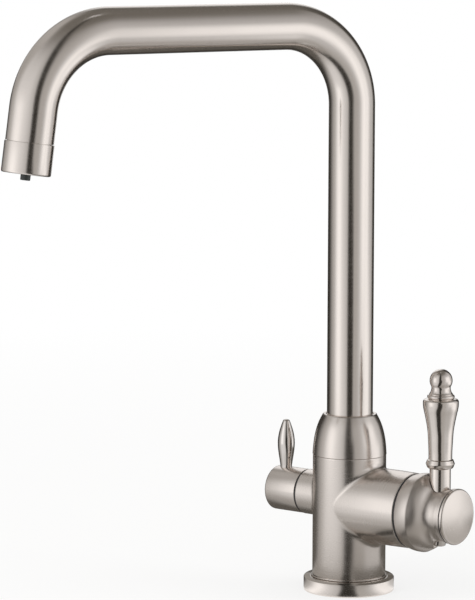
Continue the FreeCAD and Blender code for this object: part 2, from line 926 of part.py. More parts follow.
def make_lever_spindle():
    """Steel lever: a square that holds the hub, a pivot eye and a bent arm to the disc."""
    half_width = ear_gap - free_gap
    arm_half_w = half_width - slip_gap * 4
    low = mixer_z - square_half
    high = mixer_z + square_half
    eye = Part.makeCylinder(eye_r, 2 * half_width, Vector(pivot_x, -half_width, mixer_z),
                            Vector(0, 1, 0))
    tongue = block(pivot_x, hub_floor_x, half_width, low, high)
    square = block(hub_floor_x, square_end_x, square_half, low, high)
    tip_centre = Vector(drive_x, 0, mixer_z)
    around = lever_tip_r + overrun
    tip = Part.makeSphere(lever_tip_r, tip_centre)
    tip = tip.common(block(drive_x - lever_tip_flat, pivot_x, around, mixer_z - around,
                           mixer_z + around))
    neck = Part.makeCylinder(lever_tip_neck_r, arm_shoulder + overrun, tip_centre,
                             Vector(1, 0, 0))
    arm = block(drive_x + arm_shoulder, pivot_x, arm_half_w, mixer_z - arm_half_h,
                mixer_z + arm_half_h).fuse([neck, tip])
    arm.rotate(Vector(pivot_x, 0, mixer_z), Vector(0, 1, 0), -tilt_range / 2)
    return eye.fuse([tongue, square, arm]).removeSplitter().cut(pin_hole(running_gap))


def ball_point(angle_deg, radius):
    """A point (x, radius) on the ball, by its angle from the ball's inner pole."""
    angle = math.radians(angle_deg)
    return (pivot_x - radius * math.cos(angle), radius * math.sin(angle))


def make_lever_hub():
    """The ball hub: its back is a part sphere about the pivot, then a waist and a bead."""
    inner_r = ball_r - hub_wall
    bead_r = hub_waist_r + hub_bead
    bead_x = hub_end_x - hub_bead_l
    drop = ball_r - hub_waist_r
    bead = corner_round((hub_end_x, bead_r), (hub_end_x - hub_bead, bead_r),
                        (hub_end_x, bead_r - hub_bead))
    solid = turned_x(mixer_z, ball_point(hub_edge_angle, ball_r - edge_break), [
        ball_point(hub_edge_angle + 0.5, ball_r),
        ("arc", ball_point(70, ball_r), ball_point(93, ball_r)),
        ("curve",
         (pivot_x + hub_length * 0.21, ball_r - drop * 0.22),
         (pivot_x + hub_length * 0.35, ball_r - drop * 0.52),
         (pivot_x + hub_length * 0.45, ball_r - drop * 0.81),
         (pivot_x + hub_length * 0.58, hub_waist_r + hub_bead * 0.15),
         (bead_x - hub_bead_l, hub_waist_r)),
        (bead_x, hub_waist_r + hub_bead * 0.3),
        *bead,
        (hub_end_x, cap_spigot_r + seat_gap),
        (hub_end_x - cap_spigot_t, cap_spigot_r + seat_gap),
        (hub_end_x - cap_spigot_t, 0),
        (hub_floor_x, 0),
        (hub_floor_x, hub_waist_r - hub_wall),
        (pivot_x, inner_r - hub_wall),
        ("arc", ball_point(77, inner_r - hub_wall / 2),
         ball_point(hub_edge_angle + 6, inner_r)),
    ])
    half = square_half + seat_gap
    outside = mixer_z + ball_r + overrun
    cuts = [
        block(pivot_x, square_end_x + free_gap * 2, half, mixer_z - half, mixer_z + half),
        ring_z(mixer_z + handle_seat, outside, 0, stem_r + seat_gap, handle_x),
        ring_z(mixer_z, mixer_z + handle_seat + overrun, 0, rod_way_r, handle_x),
        ring_z(mixer_z - ball_r, mixer_z, 0, grub_r + thread_gap, handle_x),
        ring_z(mixer_z - ball_r, plug_top_z + seat_gap / 2, 0, plug_r + seat_gap, handle_x),
    ]
    for tool in cuts:
        solid = solid.cut(tool)
    return solid


def make_lever_cap():
    """Slightly domed cap with a rounded rim, on a spigot in the end of the hub."""
    start = hub_end_x + seat_gap
    end = start + cap_t
    rim = edge_break * 2
    round_r = cap_t * 0.45
    return turned_x(mixer_z, (hub_end_x - cap_spigot_t + slip_gap, 0), [
        (hub_end_x - cap_spigot_t + slip_gap, cap_spigot_r),
        (start, cap_spigot_r),
        *corner_round((start, cap_r), (start, cap_r - rim), (start + rim, cap_r)),
        *corner_round((end, cap_r), (end - round_r, cap_r), (end, cap_r - round_r)),
        dome(end, cap_r - round_r, end + cap_dome),
    ])


def make_hub_grub_screw():
    return grub_screw(handle_x, grub_foot_z, grub_r, grub_length, hub_key_flats,
                      hub_key_depth)


def make_hub_plug():
    """Polished button that hides the grub screw on the underside of the hub."""
    foot = mixer_z - hub_waist_r - plug_proud
    rim_r = plug_r - edge_break * 3
    return turned_z((plug_top_z, 0), [
        (plug_top_z, plug_r),
        *corner_round((foot, plug_r), (foot + edge_break * 3, plug_r), (foot, rim_r)),
        dome(foot, rim_r, foot - edge_break),
    ], handle_x)


def make_handle_stem():
    foot = mixer_z + handle_seat + seat_gap
    return ring_z(foot, grip_bottom_z - seat_gap, rod_way_r, stem_r, handle_x)


def make_handle_grip():
    """Turned grip: a bead at its foot, a slim waist and a swelling shoulder."""
    bead_foot = grip_bottom_z + edge_break * 2
    bead_top = bead_foot + grip_bead_h
    waist_z = bead_top + edge_break * 2
    shoulder_z = grip_top_z - grip_round
    rise = shoulder_z - waist_z
    swell = grip_swell_r - grip_waist_r
    curve = [(waist_z + rise * along, grip_waist_r + swell * out) for along, out in
             ((0.142, 0.014), (0.318, 0.096), (0.494, 0.205), (0.673, 0.485),
              (0.815, 0.767), (0.922, 0.973), (1, 1))]
    shoulder = corner_round((grip_top_z, grip_swell_r), (shoulder_z, grip_swell_r),
                            (grip_top_z, grip_swell_r - grip_round))
    neck_r = (grip_bead_r + grip_waist_r) / 2
    return turned_z((grip_bottom_z, rod_way_r), [
        (grip_bottom_z, neck_r - edge_break * 2),
        (bead_foot, neck_r),
        ("arc", ((bead_foot + bead_top) / 2, grip_bead_r), (bead_top, neck_r)),
        (waist_z, grip_waist_r),
        ("curve", *curve),
        shoulder[1],
        (grip_top_z, rod_way_r),
    ], handle_x)


def make_handle_finial():
    """Ball finial on a small bead, screwed onto the tie rod."""
    foot = grip_top_z + seat_gap
    centre = finial_top_z - ball_finial_r
    neck_z = centre - math.sqrt(ball_finial_r ** 2 - finial_neck_r ** 2)
    bead_top = foot + finial_bead_h
    bead_edge_r = stem_r + edge_break * 2
    return turned_z((foot, rod_way_r), [
        (foot, bead_edge_r),
        ("arc", ((foot + bead_top) / 2, finial_bead_r), (bead_top, bead_edge_r)),
        ("curve", ((bead_top + neck_z) / 2, finial_neck_r + edge_break / 2),
         (neck_z, finial_neck_r)),
        ("arc", (centre, ball_finial_r), (finial_top_z, 0)),
        (tie_rod_top_z, 0),
        (tie_rod_top_z, rod_way_r),
    ], handle_x)


def make_handle_tie_rod():
    return ring_z(tie_rod_bottom_z, tie_rod_top_z - free_gap, 0, tie_rod_r, handle_x)


def make_filter_headwork():
    """Brass body of the quarter turn valve, screwed into the filter arm."""
    flange_x = filter_arm_x - seat_gap
    pocket_r = filter_disc_r + slip_gap
    pocket_x = filter_moving_start_x - disc_pocket
    return turned_x(filter_z, (filter_fixed_end_x, pocket_r), [
        (filter_fixed_end_x, headwork_r),
        (flange_x, headwork_r),
        (flange_x, headwork_flange_r),
        (flange_x - headwork_flange_t, headwork_flange_r),
        (flange_x - headwork_flange_t, headwork_neck_r),
        (headwork_end_x, headwork_neck_r),
        (headwork_end_x, spindle_r + running_gap),
        (pocket_x, spindle_r + running_gap),
        (pocket_x, pocket_r),
    ])


def make_filter_seal():
    return ring_x(filter_fixed_end_x + seat_gap, filter_floor_x - seat_gap,
                  filter_way_step + filter_way_r + free_gap, headwork_r - slip_gap, filter_z)


def make_filter_fixed_disc():
    solid = ring_x(filter_fixed_start_x, filter_fixed_end_x, 0, filter_disc_r, filter_z)
    for side in (-1, 1):
        solid = solid.cut(ring_x(filter_fixed_start_x, filter_fixed_end_x, 0, filter_way_r,
                                 filter_z + side * filter_way_step))
    return solid


def make_filter_moving_disc():
    """Upper ceramic disc with a crosswise channel that lines up at a quarter turn."""
    disc_r = filter_disc_r - slip_gap
    solid = ring_x(filter_moving_start_x, filter_moving_end_x, 0, disc_r, filter_z)
    channel = block(filter_moving_end_x - filter_disc_t * 0.5, filter_moving_end_x,
                    filter_way_step + filter_way_r, filter_z - filter_way_r,
                    filter_z + filter_way_r)
    slot = block(filter_moving_start_x, filter_moving_start_x + filter_disc_t * 0.35,
                 filter_tang_half + slip_gap, filter_z - disc_r, filter_z + disc_r)
    return solid.cut(channel).cut(slot)


def make_filter_spindle():
    """Brass spindle with a plate and a tang that drive the upper disc."""
    plate_x = filter_moving_start_x - seat_gap
    reach = filter_disc_r - filter_tang_half
    plate = ring_x(plate_x - spindle_plate_t, plate_x, 0, filter_disc_r - slip_gap, filter_z)
    tang = block(plate_x - slip_gap, filter_moving_start_x + filter_disc_t * 0.3,
                 filter_tang_half, filter_z - reach, filter_z + reach)
    shaft = ring_x(spindle_end_x, plate_x - spindle_plate_t / 2, 0, spindle_r, filter_z)
    return shaft.fuse([plate, tang]).removeSplitter()


def make_filter_knob():
    """Round sleeve that turns the spindle; the lever stands near its outer end."""
    floor_x = spindle_end_x - slip_gap * 6
    socket_wall_r = spindle_r + seat_gap
    end = corner_round((knob_end_x, knob_r), (knob_end_x + knob_round, knob_r),
                       (knob_end_x, knob_r - knob_round))
    solid = turned_x(filter_z, (knob_start_x, knob_bore_r), [
        (knob_start_x, knob_r - edge_break),
        (knob_start_x - edge_break, knob_r),
        *end,
        (knob_end_x, 0),
        (floor_x, 0),
        (floor_x, socket_wall_r),
        (knob_web_x, socket_wall_r),
        (knob_web_x, knob_bore_r),
    ])
    cuts = [
        ring_z(filter_z + filter_lever_seat, filter_z + knob_r + overrun, 0,
               filter_lever_foot_r + seat_gap, filter_lever_x),
        ring_z(filter_z + spindle_r, filter_z + knob_r, 0, filter_grub_r + seat_gap,
               filter_lever_x),
        ring_z(filter_z - knob_r - overrun, filter_z, 0, filter_grub_r + thread_gap,
               filter_grub_x),
    ]
    for tool in cuts:
        solid = solid.cut(tool)
    return solid


def make_filter_grub_screw():
    foot = filter_z - spindle_r - seat_gap - filter_grub_length
    return grub_screw(filter_grub_x, foot, filter_grub_r, filter_grub_length,
                      filter_key_flats, filter_key_depth)


def make_filter_lever():
    """Slim spindle shaped lever with a threaded tenon."""
    tenon_foot = filter_z + spindle_r + free_gap
    foot = filter_z + filter_lever_seat + seat_gap
    surface = filter_z + knob_r
    top = filter_z + filter_lever_length
    height = top - surface
    belly = filter_lever_belly_r - filter_lever_foot_r
    tip_z = top - filter_lever_tip_r * 0.4
    return turned_z((tenon_foot, 0), [
        (tenon_foot, filter_grub_r),
        (foot, filter_grub_r),
        (foot, filter_lever_foot_r),
        (surface + edge_break * 3, filter_lever_foot_r),
        ("curve",
         (surface + height * 0.16, filter_lever_foot_r + belly * 0.36),
         (surface + height * 0.36, filter_lever_foot_r + belly * 0.88),
         (surface + height * 0.54, filter_lever_belly_r),
         (surface + height * 0.76, filter_lever_foot_r + belly * 0.36),
         (tip_z, filter_lever_tip_r)),
        dome(tip_z, filter_lever_tip_r, top),
    ], filter_lever_x)


PARTS = {
    "body_casting": make_body_casting,
    "base_flange": make_base_flange,
    "base_gasket": make_base_gasket,
    "mounting_shank": make_mounting_shank,
    "rubber_washer": make_rubber_washer,
    "steel_washer": make_steel_washer,
    "mounting_nut": make_mounting_nut,
    "spout_collar": make_spout_collar,
    "lower_glide_ring": make_lower_glide_ring,
    "upper_glide_ring": make_upper_glide_ring,
    "filter_nipple": make_filter_nipple,
    "swivel_insert": make_swivel_insert,
    "swivel_o_rings": make_swivel_o_rings,
    "spout_tube": make_spout_tube,
    "filter_line": make_filter_line,
    "aerator_housing": make_aerator_housing,
    "aerator_insert": make_aerator_insert,
    "aerator_washer": make_aerator_washer,
    "filter_nozzle": make_filter_nozzle,
    "cartridge_case": make_cartridge_case,
    "cartridge_base": make_cartridge_base,
    "cartridge_seals": make_cartridge_seals,
    "cartridge_nut": make_cartridge_nut,
    "fixed_disc": make_fixed_disc,
    "moving_disc": make_moving_disc,
    "disc_driver": make_disc_driver,
    "lever_carrier": make_lever_carrier,
    "pivot_pin": make_pivot_pin,
    "lever_spindle": make_lever_spindle,
    "lever_hub": make_lever_hub,
    "lever_cap": make_lever_cap,
    "hub_grub_screw": make_hub_grub_screw,
    "hub_plug": make_hub_plug,
    "handle_stem": make_handle_stem,
    "handle_grip": make_handle_grip,
    "handle_finial": make_handle_finial,
    "handle_tie_rod": make_handle_tie_rod,
    "filter_headwork": make_filter_headwork,
    "filter_seal": make_filter_seal,
    "filter_fixed_disc": make_filter_fixed_disc,
    "filter_moving_disc": make_filter_moving_disc,
    "filter_spindle": make_filter_spindle,
    "filter_knob": make_filter_knob,
    "filter_grub_screw": make_filter_grub_screw,
    "filter_lever": make_filter_lever,
}

os.makedirs("parts", exist_ok=True)
for name, make in PARTS.items():
    shape = make()
    shape.exportStep("parts/" + name + ".step")
    print("%-20s %d solid, %9.1f mm3, valid %s" % (name, len(shape.Solids), shape.Volume,
                                                  shape.isValid()))
print("lever tip travel %.3f mm, coupling %.5f m/rad" % (disc_travel, drive_arm / 1000))
print("pivot %.2f, filter lever %.2f, port roof %.2f" % (pivot_x, filter_lever_x, port_roof_z))
print("outlet point %.2f %.2f %.2f" % tuple(outlet_point))
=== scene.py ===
# %% [markdown]
# # A three way kitchen mixer tap
# The tap stands on a worktop: a column with a mixer lever on the right, a small lever for filtered
# water on the left, and a swan neck spout on top. This lesson dresses the packed CAD model of it:
# the pieces that show are modelled again with smooth turned and blended surfaces, and every piece
# gets a finish. First the frame is loaded.

# %% Load the frame
import json
import math

import bmesh
import bpy
import numpy as np
from mathutils import Matrix, Vector

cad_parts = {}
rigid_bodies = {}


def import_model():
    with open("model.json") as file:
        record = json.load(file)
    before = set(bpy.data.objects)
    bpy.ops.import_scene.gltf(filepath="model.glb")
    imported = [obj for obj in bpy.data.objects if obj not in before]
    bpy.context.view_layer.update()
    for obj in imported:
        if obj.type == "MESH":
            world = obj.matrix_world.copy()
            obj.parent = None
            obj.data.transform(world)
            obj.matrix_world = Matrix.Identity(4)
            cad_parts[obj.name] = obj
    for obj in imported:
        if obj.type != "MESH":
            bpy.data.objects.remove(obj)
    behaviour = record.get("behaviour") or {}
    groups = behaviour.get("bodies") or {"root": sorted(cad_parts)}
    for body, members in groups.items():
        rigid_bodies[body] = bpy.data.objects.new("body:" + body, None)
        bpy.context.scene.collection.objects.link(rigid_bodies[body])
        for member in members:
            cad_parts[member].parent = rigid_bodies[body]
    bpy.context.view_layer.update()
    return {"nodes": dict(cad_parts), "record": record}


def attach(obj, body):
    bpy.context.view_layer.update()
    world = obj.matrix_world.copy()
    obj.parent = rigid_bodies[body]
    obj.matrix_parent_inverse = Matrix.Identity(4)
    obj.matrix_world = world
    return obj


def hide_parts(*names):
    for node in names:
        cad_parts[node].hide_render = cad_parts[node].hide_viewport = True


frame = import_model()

# %% [markdown]
# ## The camera
# The photograph is taken from the front right, a little from above, with a long lens. A
# camera with the same place and turn shows every piece at the same size as there. Its three
# axes are worked out from its bearing, its pitch and a very slight roll.

# %% Set up the camera
MM = 0.001
camera_bearing = math.radians(36.95)
camera_yaw = camera_bearing + math.radians(1.95)
camera_pitch = math.radians(7.22)
camera_roll = math.radians(0.14)
CAMERA_AWAY, CAMERA_H = 2018.2, 433.9
camera_place = Vector((CAMERA_AWAY * math.sin(camera_bearing),
                       -CAMERA_AWAY * math.cos(camera_bearing), CAMERA_H)) * MM
looking = Vector((-math.sin(camera_yaw) * math.cos(camera_pitch),
                  math.cos(camera_yaw) * math.cos(camera_pitch), -math.sin(camera_pitch)))
level = Vector((math.cos(camera_yaw), math.sin(camera_yaw), 0))
upward = level.cross(looking)
sideways = level * math.cos(camera_roll) + upward * math.sin(camera_roll)
upright = upward * math.cos(camera_roll) - level * math.sin(camera_roll)

bpy.ops.object.camera_add(location=camera_place)
camera = bpy.context.active_object
camera.rotation_euler = Matrix((sideways, upright, -looking)).transposed().to_euler()
camera.data.lens = 200.9
camera.data.sensor_width = 36
bpy.context.scene.camera = camera
print("camera at", [round(value, 3) for value in camera_place])

# %% [markdown]
# ## How finishes are put together
# A finish is a small tree of nodes. Two helpers keep the lines short: one adds a node and
# sets its sockets, the other starts a material and hands back its main shader. What is the
# same all over a surface is set on the shader itself.

# %% Helpers for finishes
def add_node(tree, kind, sockets=(), **settings):
    """Adds a node, sets its properties, and fills sockets given as {name or number: value}.
    A socket given another node's output is linked to it."""
    made = tree.nodes.new("ShaderNode" + kind)
    for key, value in settings.items():
        setattr(made, key, value)
    for key, value in dict(sockets).items():
        if isinstance(value, bpy.types.NodeSocket):
            tree.links.new(value, made.inputs[key])
        else:
            made.inputs[key].default_value = value
    return made


def calc(tree, operation, first, second):
    """Adds a Math node on two values and hands back its result."""
    return add_node(tree, "Math", {0: first, 1: second}, operation=operation).outputs[0]


def new_finish(name, colour, metallic, roughness):
    finish = bpy.data.materials.new(name)
    finish.use_nodes = True
    shader = finish.node_tree.nodes["Principled BSDF"]
    shader.inputs["Base Color"].default_value = (*colour, 1)
    shader.inputs["Metallic"].default_value = metallic
    shader.inputs["Roughness"].default_value = roughness
    return finish, finish.node_tree, shader


def speckle(tree, vector, stretch, detail=2.0):
    """A noise whose grains are stretched: the larger a number, the finer the grain."""
    mapping = add_node(tree, "Mapping", {"Vector": vector, "Scale": stretch})
    noise = add_node(tree, "TexNoise", {"Vector": mapping.outputs[0], "Scale": 1.0,
                                        "Detail": detail, "Roughness": 0.6})
    return noise.outputs["Fac"]


def ranged(tree, value, low, high):
    """Turns a noise, which stays near its middle, into a value from low to high."""
    return add_node(tree, "MapRange", {"Value": value, "From Min": 0.3, "From Max": 0.7,
                                       "To Min": low, "To Max": high}).outputs[0]


def tint(tree, shader, value, colour, spread):
    """Makes a colour a little darker and lighter by a noise."""
    darker, lighter = ([min(1.0, part * share) for part in colour] + [1]
                       for share in (1 - spread, 1 + spread))
    mix = add_node(tree, "Mix", {"Factor": value, 6: darker, 7: lighter}, data_type="RGBA")
    tree.links.new(mix.outputs[2], shader.inputs["Base Color"])


def vary_gloss(tree, shader, roughness, fine, fine_spread, coarse, coarse_spread):
    """Varies the roughness by a fine noise, and in patches by a coarse one."""
    rough = ranged(tree, fine, roughness - fine_spread, roughness + fine_spread)
    patches = ranged(tree, coarse, -coarse_spread, coarse_spread)
    tree.links.new(calc(tree, "ADD", rough, patches), shader.inputs["Roughness"])


def bump(tree, shader, height, strength, depth_mm):
    raised = add_node(tree, "Bump", {"Height": height, "Strength": strength,
                                     "Distance": depth_mm * MM})
    tree.links.new(raised.outputs[0], shader.inputs["Normal"])


# %% [markdown]
# ## Satin nickel, brushed round each turned piece
# The plated brass is brushed while it turns, so hair lines run round it, and a light is drawn
# out along the piece. Each turned piece carries a UV map in metres, U along it and V round
# it: a noise that is fine in U and long in V gives the hair lines, and the shader's
# anisotropy with a tangent along U gives the drawn out light.

# %% Satin nickel on turned pieces
NICKEL = (0.80, 0.738, 0.692)


def turned_nickel(name, roughness, stretched):
    finish, tree, shader = new_finish(name, NICKEL, 1.0, roughness)
    grain = add_node(tree, "UVMap", uv_map="grain").outputs[0]
    place = add_node(tree, "TexCoord").outputs["Object"]
    hairs = speckle(tree, grain, (5200, 90, 1))
    bands = speckle(tree, grain, (900, 26, 1), detail=1.0)
    clouds = speckle(tree, place, (70, 70, 70), detail=1.0)
    half = calc(tree, "MULTIPLY", calc(tree, "ADD", hairs, bands), 0.5)
    vary_gloss(tree, shader, roughness, half, 0.03, clouds, 0.012)
    tint(tree, shader, half, NICKEL, 0.035)
    bump(tree, shader, half, 0.08, 0.003)
    shader.inputs["Anisotropic"].default_value = stretched
    tangent = add_node(tree, "Tangent", direction_type="UV_MAP", uv_map="grain")
    tree.links.new(tangent.outputs[0], shader.inputs["Tangent"])
    return finish


satin = turned_nickel("satin nickel, turned", 0.24, 0.45)
smooth_satin = turned_nickel("satin nickel, drawn tube", 0.20, 0.55)
bright_satin = turned_nickel("satin nickel, handle", 0.14, 0.45)
print("made", satin.name, smooth_satin.name, bright_satin.name, sep=", ")

# %% [markdown]
# ## Satin nickel on the cast body
# The body is a casting with two arms, brushed by hand round the column and round each arm.
# Its pattern reads Object coordinates: hair lines across Z on the column, and across X where
# the surface stands further out than the column.

# %% Satin nickel on the casting
def cast_nickel(name, roughness):
    finish, tree, shader = new_finish(name, NICKEL, 1.0, roughness)
    place = add_node(tree, "TexCoord").outputs["Object"]
    round_column = speckle(tree, place, (70, 70, 3800))
    round_arms = speckle(tree, place, (3800, 70, 70))
    flat = add_node(tree, "VectorMath", {0: place, 1: (1, 1, 0)}, operation="MULTIPLY")
    reach = add_node(tree, "VectorMath", {0: flat.outputs[0]}, operation="LENGTH")
    on_arm = add_node(tree, "MapRange", {"Value": reach.outputs["Value"],
                                         "From Min": 22.6 * MM, "From Max": 25.5 * MM})
    hairs = add_node(tree, "Mix", {"Factor": on_arm.outputs[0], 2: round_column,
                                   3: round_arms}, data_type="FLOAT").outputs[0]
    clouds = speckle(tree, place, (60, 60, 60))
    vary_gloss(tree, shader, roughness, hairs, 0.025, clouds, 0.015)
    tint(tree, shader, hairs, NICKEL, 0.02)
    bump(tree, shader, hairs, 0.10, 0.003)
    return finish


cast_satin = cast_nickel("satin nickel, cast", 0.25)
hub_satin = cast_nickel("satin nickel, hub", 0.33)
print("made", cast_satin.name, "and", hub_satin.name)

# %% [markdown]
# ## Polished nickel
# The small lever, the button under the hub and the end of the spout are polished: nearly a
# mirror, with faint wipe marks in the gloss and hardly any bump.

# %% Polished nickel
POLISHED = (0.81, 0.765, 0.73)
polished, tree, shader = new_finish("polished nickel", POLISHED, 1.0, 0.07)
place = add_node(tree, "TexCoord").outputs["Object"]
wipes = speckle(tree, place, (160, 160, 700))
tree.links.new(ranged(tree, wipes, 0.05, 0.10), shader.inputs["Roughness"])
tint(tree, shader, wipes, POLISHED, 0.02)
bump(tree, shader, wipes, 0.1, 0.004)
print("made", polished.name)

# %% [markdown]
# ## Finishes inside and under the tap
# Brass and steel parts show the fine rings of the lathe: a noise that is fine along the
# piece's own axis and long across it. Moulded plastics and rubber have a soft grain, and the
# ceramic discs are lapped to an even, faintly cloudy white.

# %% Lathe turned metals
def lathe_metal(name, colour, roughness, fine_axis):
    finish, tree, shader = new_finish(name, colour, 1.0, roughness)
    place = add_node(tree, "TexCoord").outputs["Object"]
    stretch = [110, 110, 110]
    stretch[fine_axis] = 4200
    rings = speckle(tree, place, stretch)
    stains = speckle(tree, place, (180, 180, 180), detail=3.0)
    vary_gloss(tree, shader, roughness, rings, 0.06, stains, 0.05)
    tint(tree, shader, stains, colour, 0.10)
    bump(tree, shader, rings, 0.35, 0.01)
    return finish


BRASS = (0.72, 0.53, 0.26)
STEEL = (0.52, 0.52, 0.53)
brass_z = lathe_metal("brass, turned upright", BRASS, 0.28, 2)
brass_x = lathe_metal("brass, turned lying", BRASS, 0.28, 0)
steel_z = lathe_metal("zinc plated steel", STEEL, 0.33, 2)
steel_x = lathe_metal("stainless steel", STEEL, 0.26, 0)
print("made", brass_z.name, brass_x.name, steel_z.name, steel_x.name, sep=", ")

# %% Moulded and lapped finishes
def moulded(name, colour, roughness, grain, depth_mm, spread):
    finish, tree, shader = new_finish(name, colour, 0.0, roughness)
    place = add_node(tree, "TexCoord").outputs["Object"]
    pores = speckle(tree, place, (grain, grain, grain), detail=3.0)
    clouds = speckle(tree, place, (90, 90, 90))
    tree.links.new(ranged(tree, pores, roughness - 0.07, roughness + 0.07),
                   shader.inputs["Roughness"])
    tint(tree, shader, clouds, colour, spread)
    bump(tree, shader, pores, 0.4, depth_mm)
    return finish


rubber = moulded("black rubber", (0.032, 0.032, 0.033), 0.62, 2600, 0.03, 0.15)
acetal = moulded("white acetal", (0.83, 0.82, 0.79), 0.42, 1500, 0.01, 0.02)
grey_plastic = moulded("dark grey plastic", (0.035, 0.040, 0.037), 0.36, 1800, 0.01, 0.06)
ceramic = moulded("lapped ceramic", (0.88, 0.865, 0.83), 0.16, 3000, 0.003, 0.02)
print("made", rubber.name, acetal.name, grey_plastic.name, ceramic.name, sep=", ")

# %% [markdown]
# ## A lathe for turned pieces
# Nearly every piece of a tap is turned. As by hand in Blender: a plane is merged to a single
# point, the point is extruded along the outline, its corners are rounded with a vertex
# bevel, and the outline is spun round the axis. The UV map that the brushed finish needs is
# laid at once, because the outline's own length gives U.

# %% Outlines
def smooth_line(points, count):
    """Points on a smooth curve through the given ones."""
    points = np.array(points, float)
    step = np.hypot(*np.diff(points, axis=0).T)
    knots = np.concatenate([[0], np.cumsum(step)])
    last = len(points) - 1
    system = np.zeros((last + 1, last + 1))
    right = np.zeros((last + 1, 2))
    system[0, 0] = system[last, last] = 1
    for i in range(1, last):
        system[i, i - 1:i + 2] = step[i - 1], 2 * (step[i - 1] + step[i]), step[i]
        right[i] = 6 * ((points[i + 1] - points[i]) / step[i]
                        - (points[i] - points[i - 1]) / step[i - 1])
    bend = np.linalg.solve(system, right)
    line = []
    for here in np.linspace(0, knots[-1], count):
        i = min(int(np.searchsorted(knots, here, side="right")) - 1, last - 1)
        b = (here - knots[i]) / step[i]
        a = 1 - b
        sag = (a ** 3 - a) * bend[i] + (b ** 3 - b) * bend[i + 1]
        line.append(tuple(a * points[i] + b * points[i + 1] + sag * step[i] ** 2 / 6))
    return line


def arc_line(centre, radius, first, last, count):
    """Points on a circle in the outline's plane; 0 degrees points along the axis."""
    return [(centre[0] + radius * math.cos(math.radians(angle)),
             centre[1] + radius * math.sin(math.radians(angle)))
            for angle in np.linspace(first, last, count)]


def dome_line(foot, rim, top, count):
    """Points from a rim over a spherical cap to its pole."""
    height = top - foot
    ball = (rim ** 2 + height ** 2) / (2 * abs(height))
    side = math.copysign(1, height)
    return [(top - side * (ball - math.sqrt(ball ** 2 - (rim * (1 - k)) ** 2)), rim * (1 - k))
            for k in np.linspace(0, 1, count)[1:]]


# %% The grain map
def read(items, key, width=1, kind=float):
    """Reads a value, or a few, of each of a mesh's vertices, corners or faces."""
    values = np.empty(len(items) * width, kind)
    items.foreach_get(key, values)
    return values


def vertex_places(piece):
    return read(piece.data.vertices, "co", 3).reshape(-1, 3)


def lay_grain(piece, along, around, along_period, around_period):
    """Writes the UV map in metres from a value of each vertex along and round the piece. A
    vertex on the axis has no value round it and takes its face's."""
    mesh = piece.data
    vertex = read(mesh.loops, "vertex_index", kind=np.int32)
    start = read(mesh.polygons, "loop_start", kind=np.int32)
    length = read(mesh.polygons, "loop_total", kind=np.int32)
    face = np.repeat(np.arange(len(start)), length)
    columns = []
    for values, period in ((along, along_period), (around, around_period)):
        here = values[vertex]
        highest = np.fmax.reduceat(here, start)[face]
        here = np.where(highest - here > period / 2, here + period, here)
        middle = (np.fmax.reduceat(here, start) + np.fmin.reduceat(here, start))[face] / 2
        columns.append(np.where(np.isnan(here), middle, here))
    layer = mesh.uv_layers.new(name="grain")
    layer.data.foreach_set("uv", np.stack(columns, 1).astype(np.float32).ravel())


# %% Steps of the lathe
def start_alone():
    """Leaves edit mode and deselects everything, so that an operator acts on one piece."""
    if bpy.context.object and bpy.context.object.mode != "OBJECT":
        bpy.ops.object.mode_set(mode="OBJECT")
    bpy.ops.object.select_all(action="DESELECT")


def pick(piece, wanted):
    """In edit mode, selects only the vertices for which wanted(place) is true."""
    bpy.ops.mesh.select_mode(type="VERT")
    bpy.ops.mesh.select_all(action="DESELECT")
    shape = bmesh.from_edit_mesh(piece.data)
    for vertex in shape.verts:
        vertex.select_set(wanted(vertex.co))
    shape.select_flush_mode()
    bmesh.update_edit_mesh(piece.data)


def draw_outline(name, spots, rounds=()):
    """Starts a piece from a plane merged to one vertex, extrudes it along the spots, and
    rounds the corners named by their number. The piece stays in edit mode."""
    start_alone()
    bpy.ops.mesh.primitive_plane_add(size=MM)
    piece = bpy.context.active_object
    piece.name = piece.data.name = name
    bpy.ops.object.mode_set(mode="EDIT")
    bpy.ops.mesh.merge(type="CENTER")
    bpy.ops.transform.translate(value=spots[0])
    for here, there in zip(spots, spots[1:]):
        bpy.ops.mesh.extrude_vertices_move(TRANSFORM_OT_translate={"value": there - here})
    for corner, radius in rounds:
        pick(piece, lambda place: (place - spots[corner]).length < 1e-6)
        bpy.ops.mesh.bevel(offset=radius * MM, segments=4, affect="VERTICES")
    return piece


def outline_order(piece, first):
    """The outline's vertices in order from its first spot, which is an end of the chain."""
    shape = bmesh.from_edit_mesh(piece.data)
    ends = [vertex for vertex in shape.verts if len(vertex.link_edges) == 1]
    here = min(ends, key=lambda vertex: (vertex.co - first).length)
    order, came_by = [here.co.copy()], None
    while True:
        onward = [edge for edge in here.link_edges if edge is not came_by]
        if not onward:
            return order
        came_by = onward[0]
        here = came_by.other_vert(here)
        order.append(here.co.copy())


def select_all():
    bpy.ops.mesh.select_all(action="SELECT")


def close_up():
    """Merges doubled vertices, drops loose ones, turns faces outwards, leaves edit mode."""
    select_all()
    bpy.ops.mesh.remove_doubles(threshold=0.0005 * MM)
    bpy.ops.mesh.delete_loose()
    select_all()
    bpy.ops.mesh.normals_make_consistent(inside=False)
    bpy.ops.object.mode_set(mode="OBJECT")


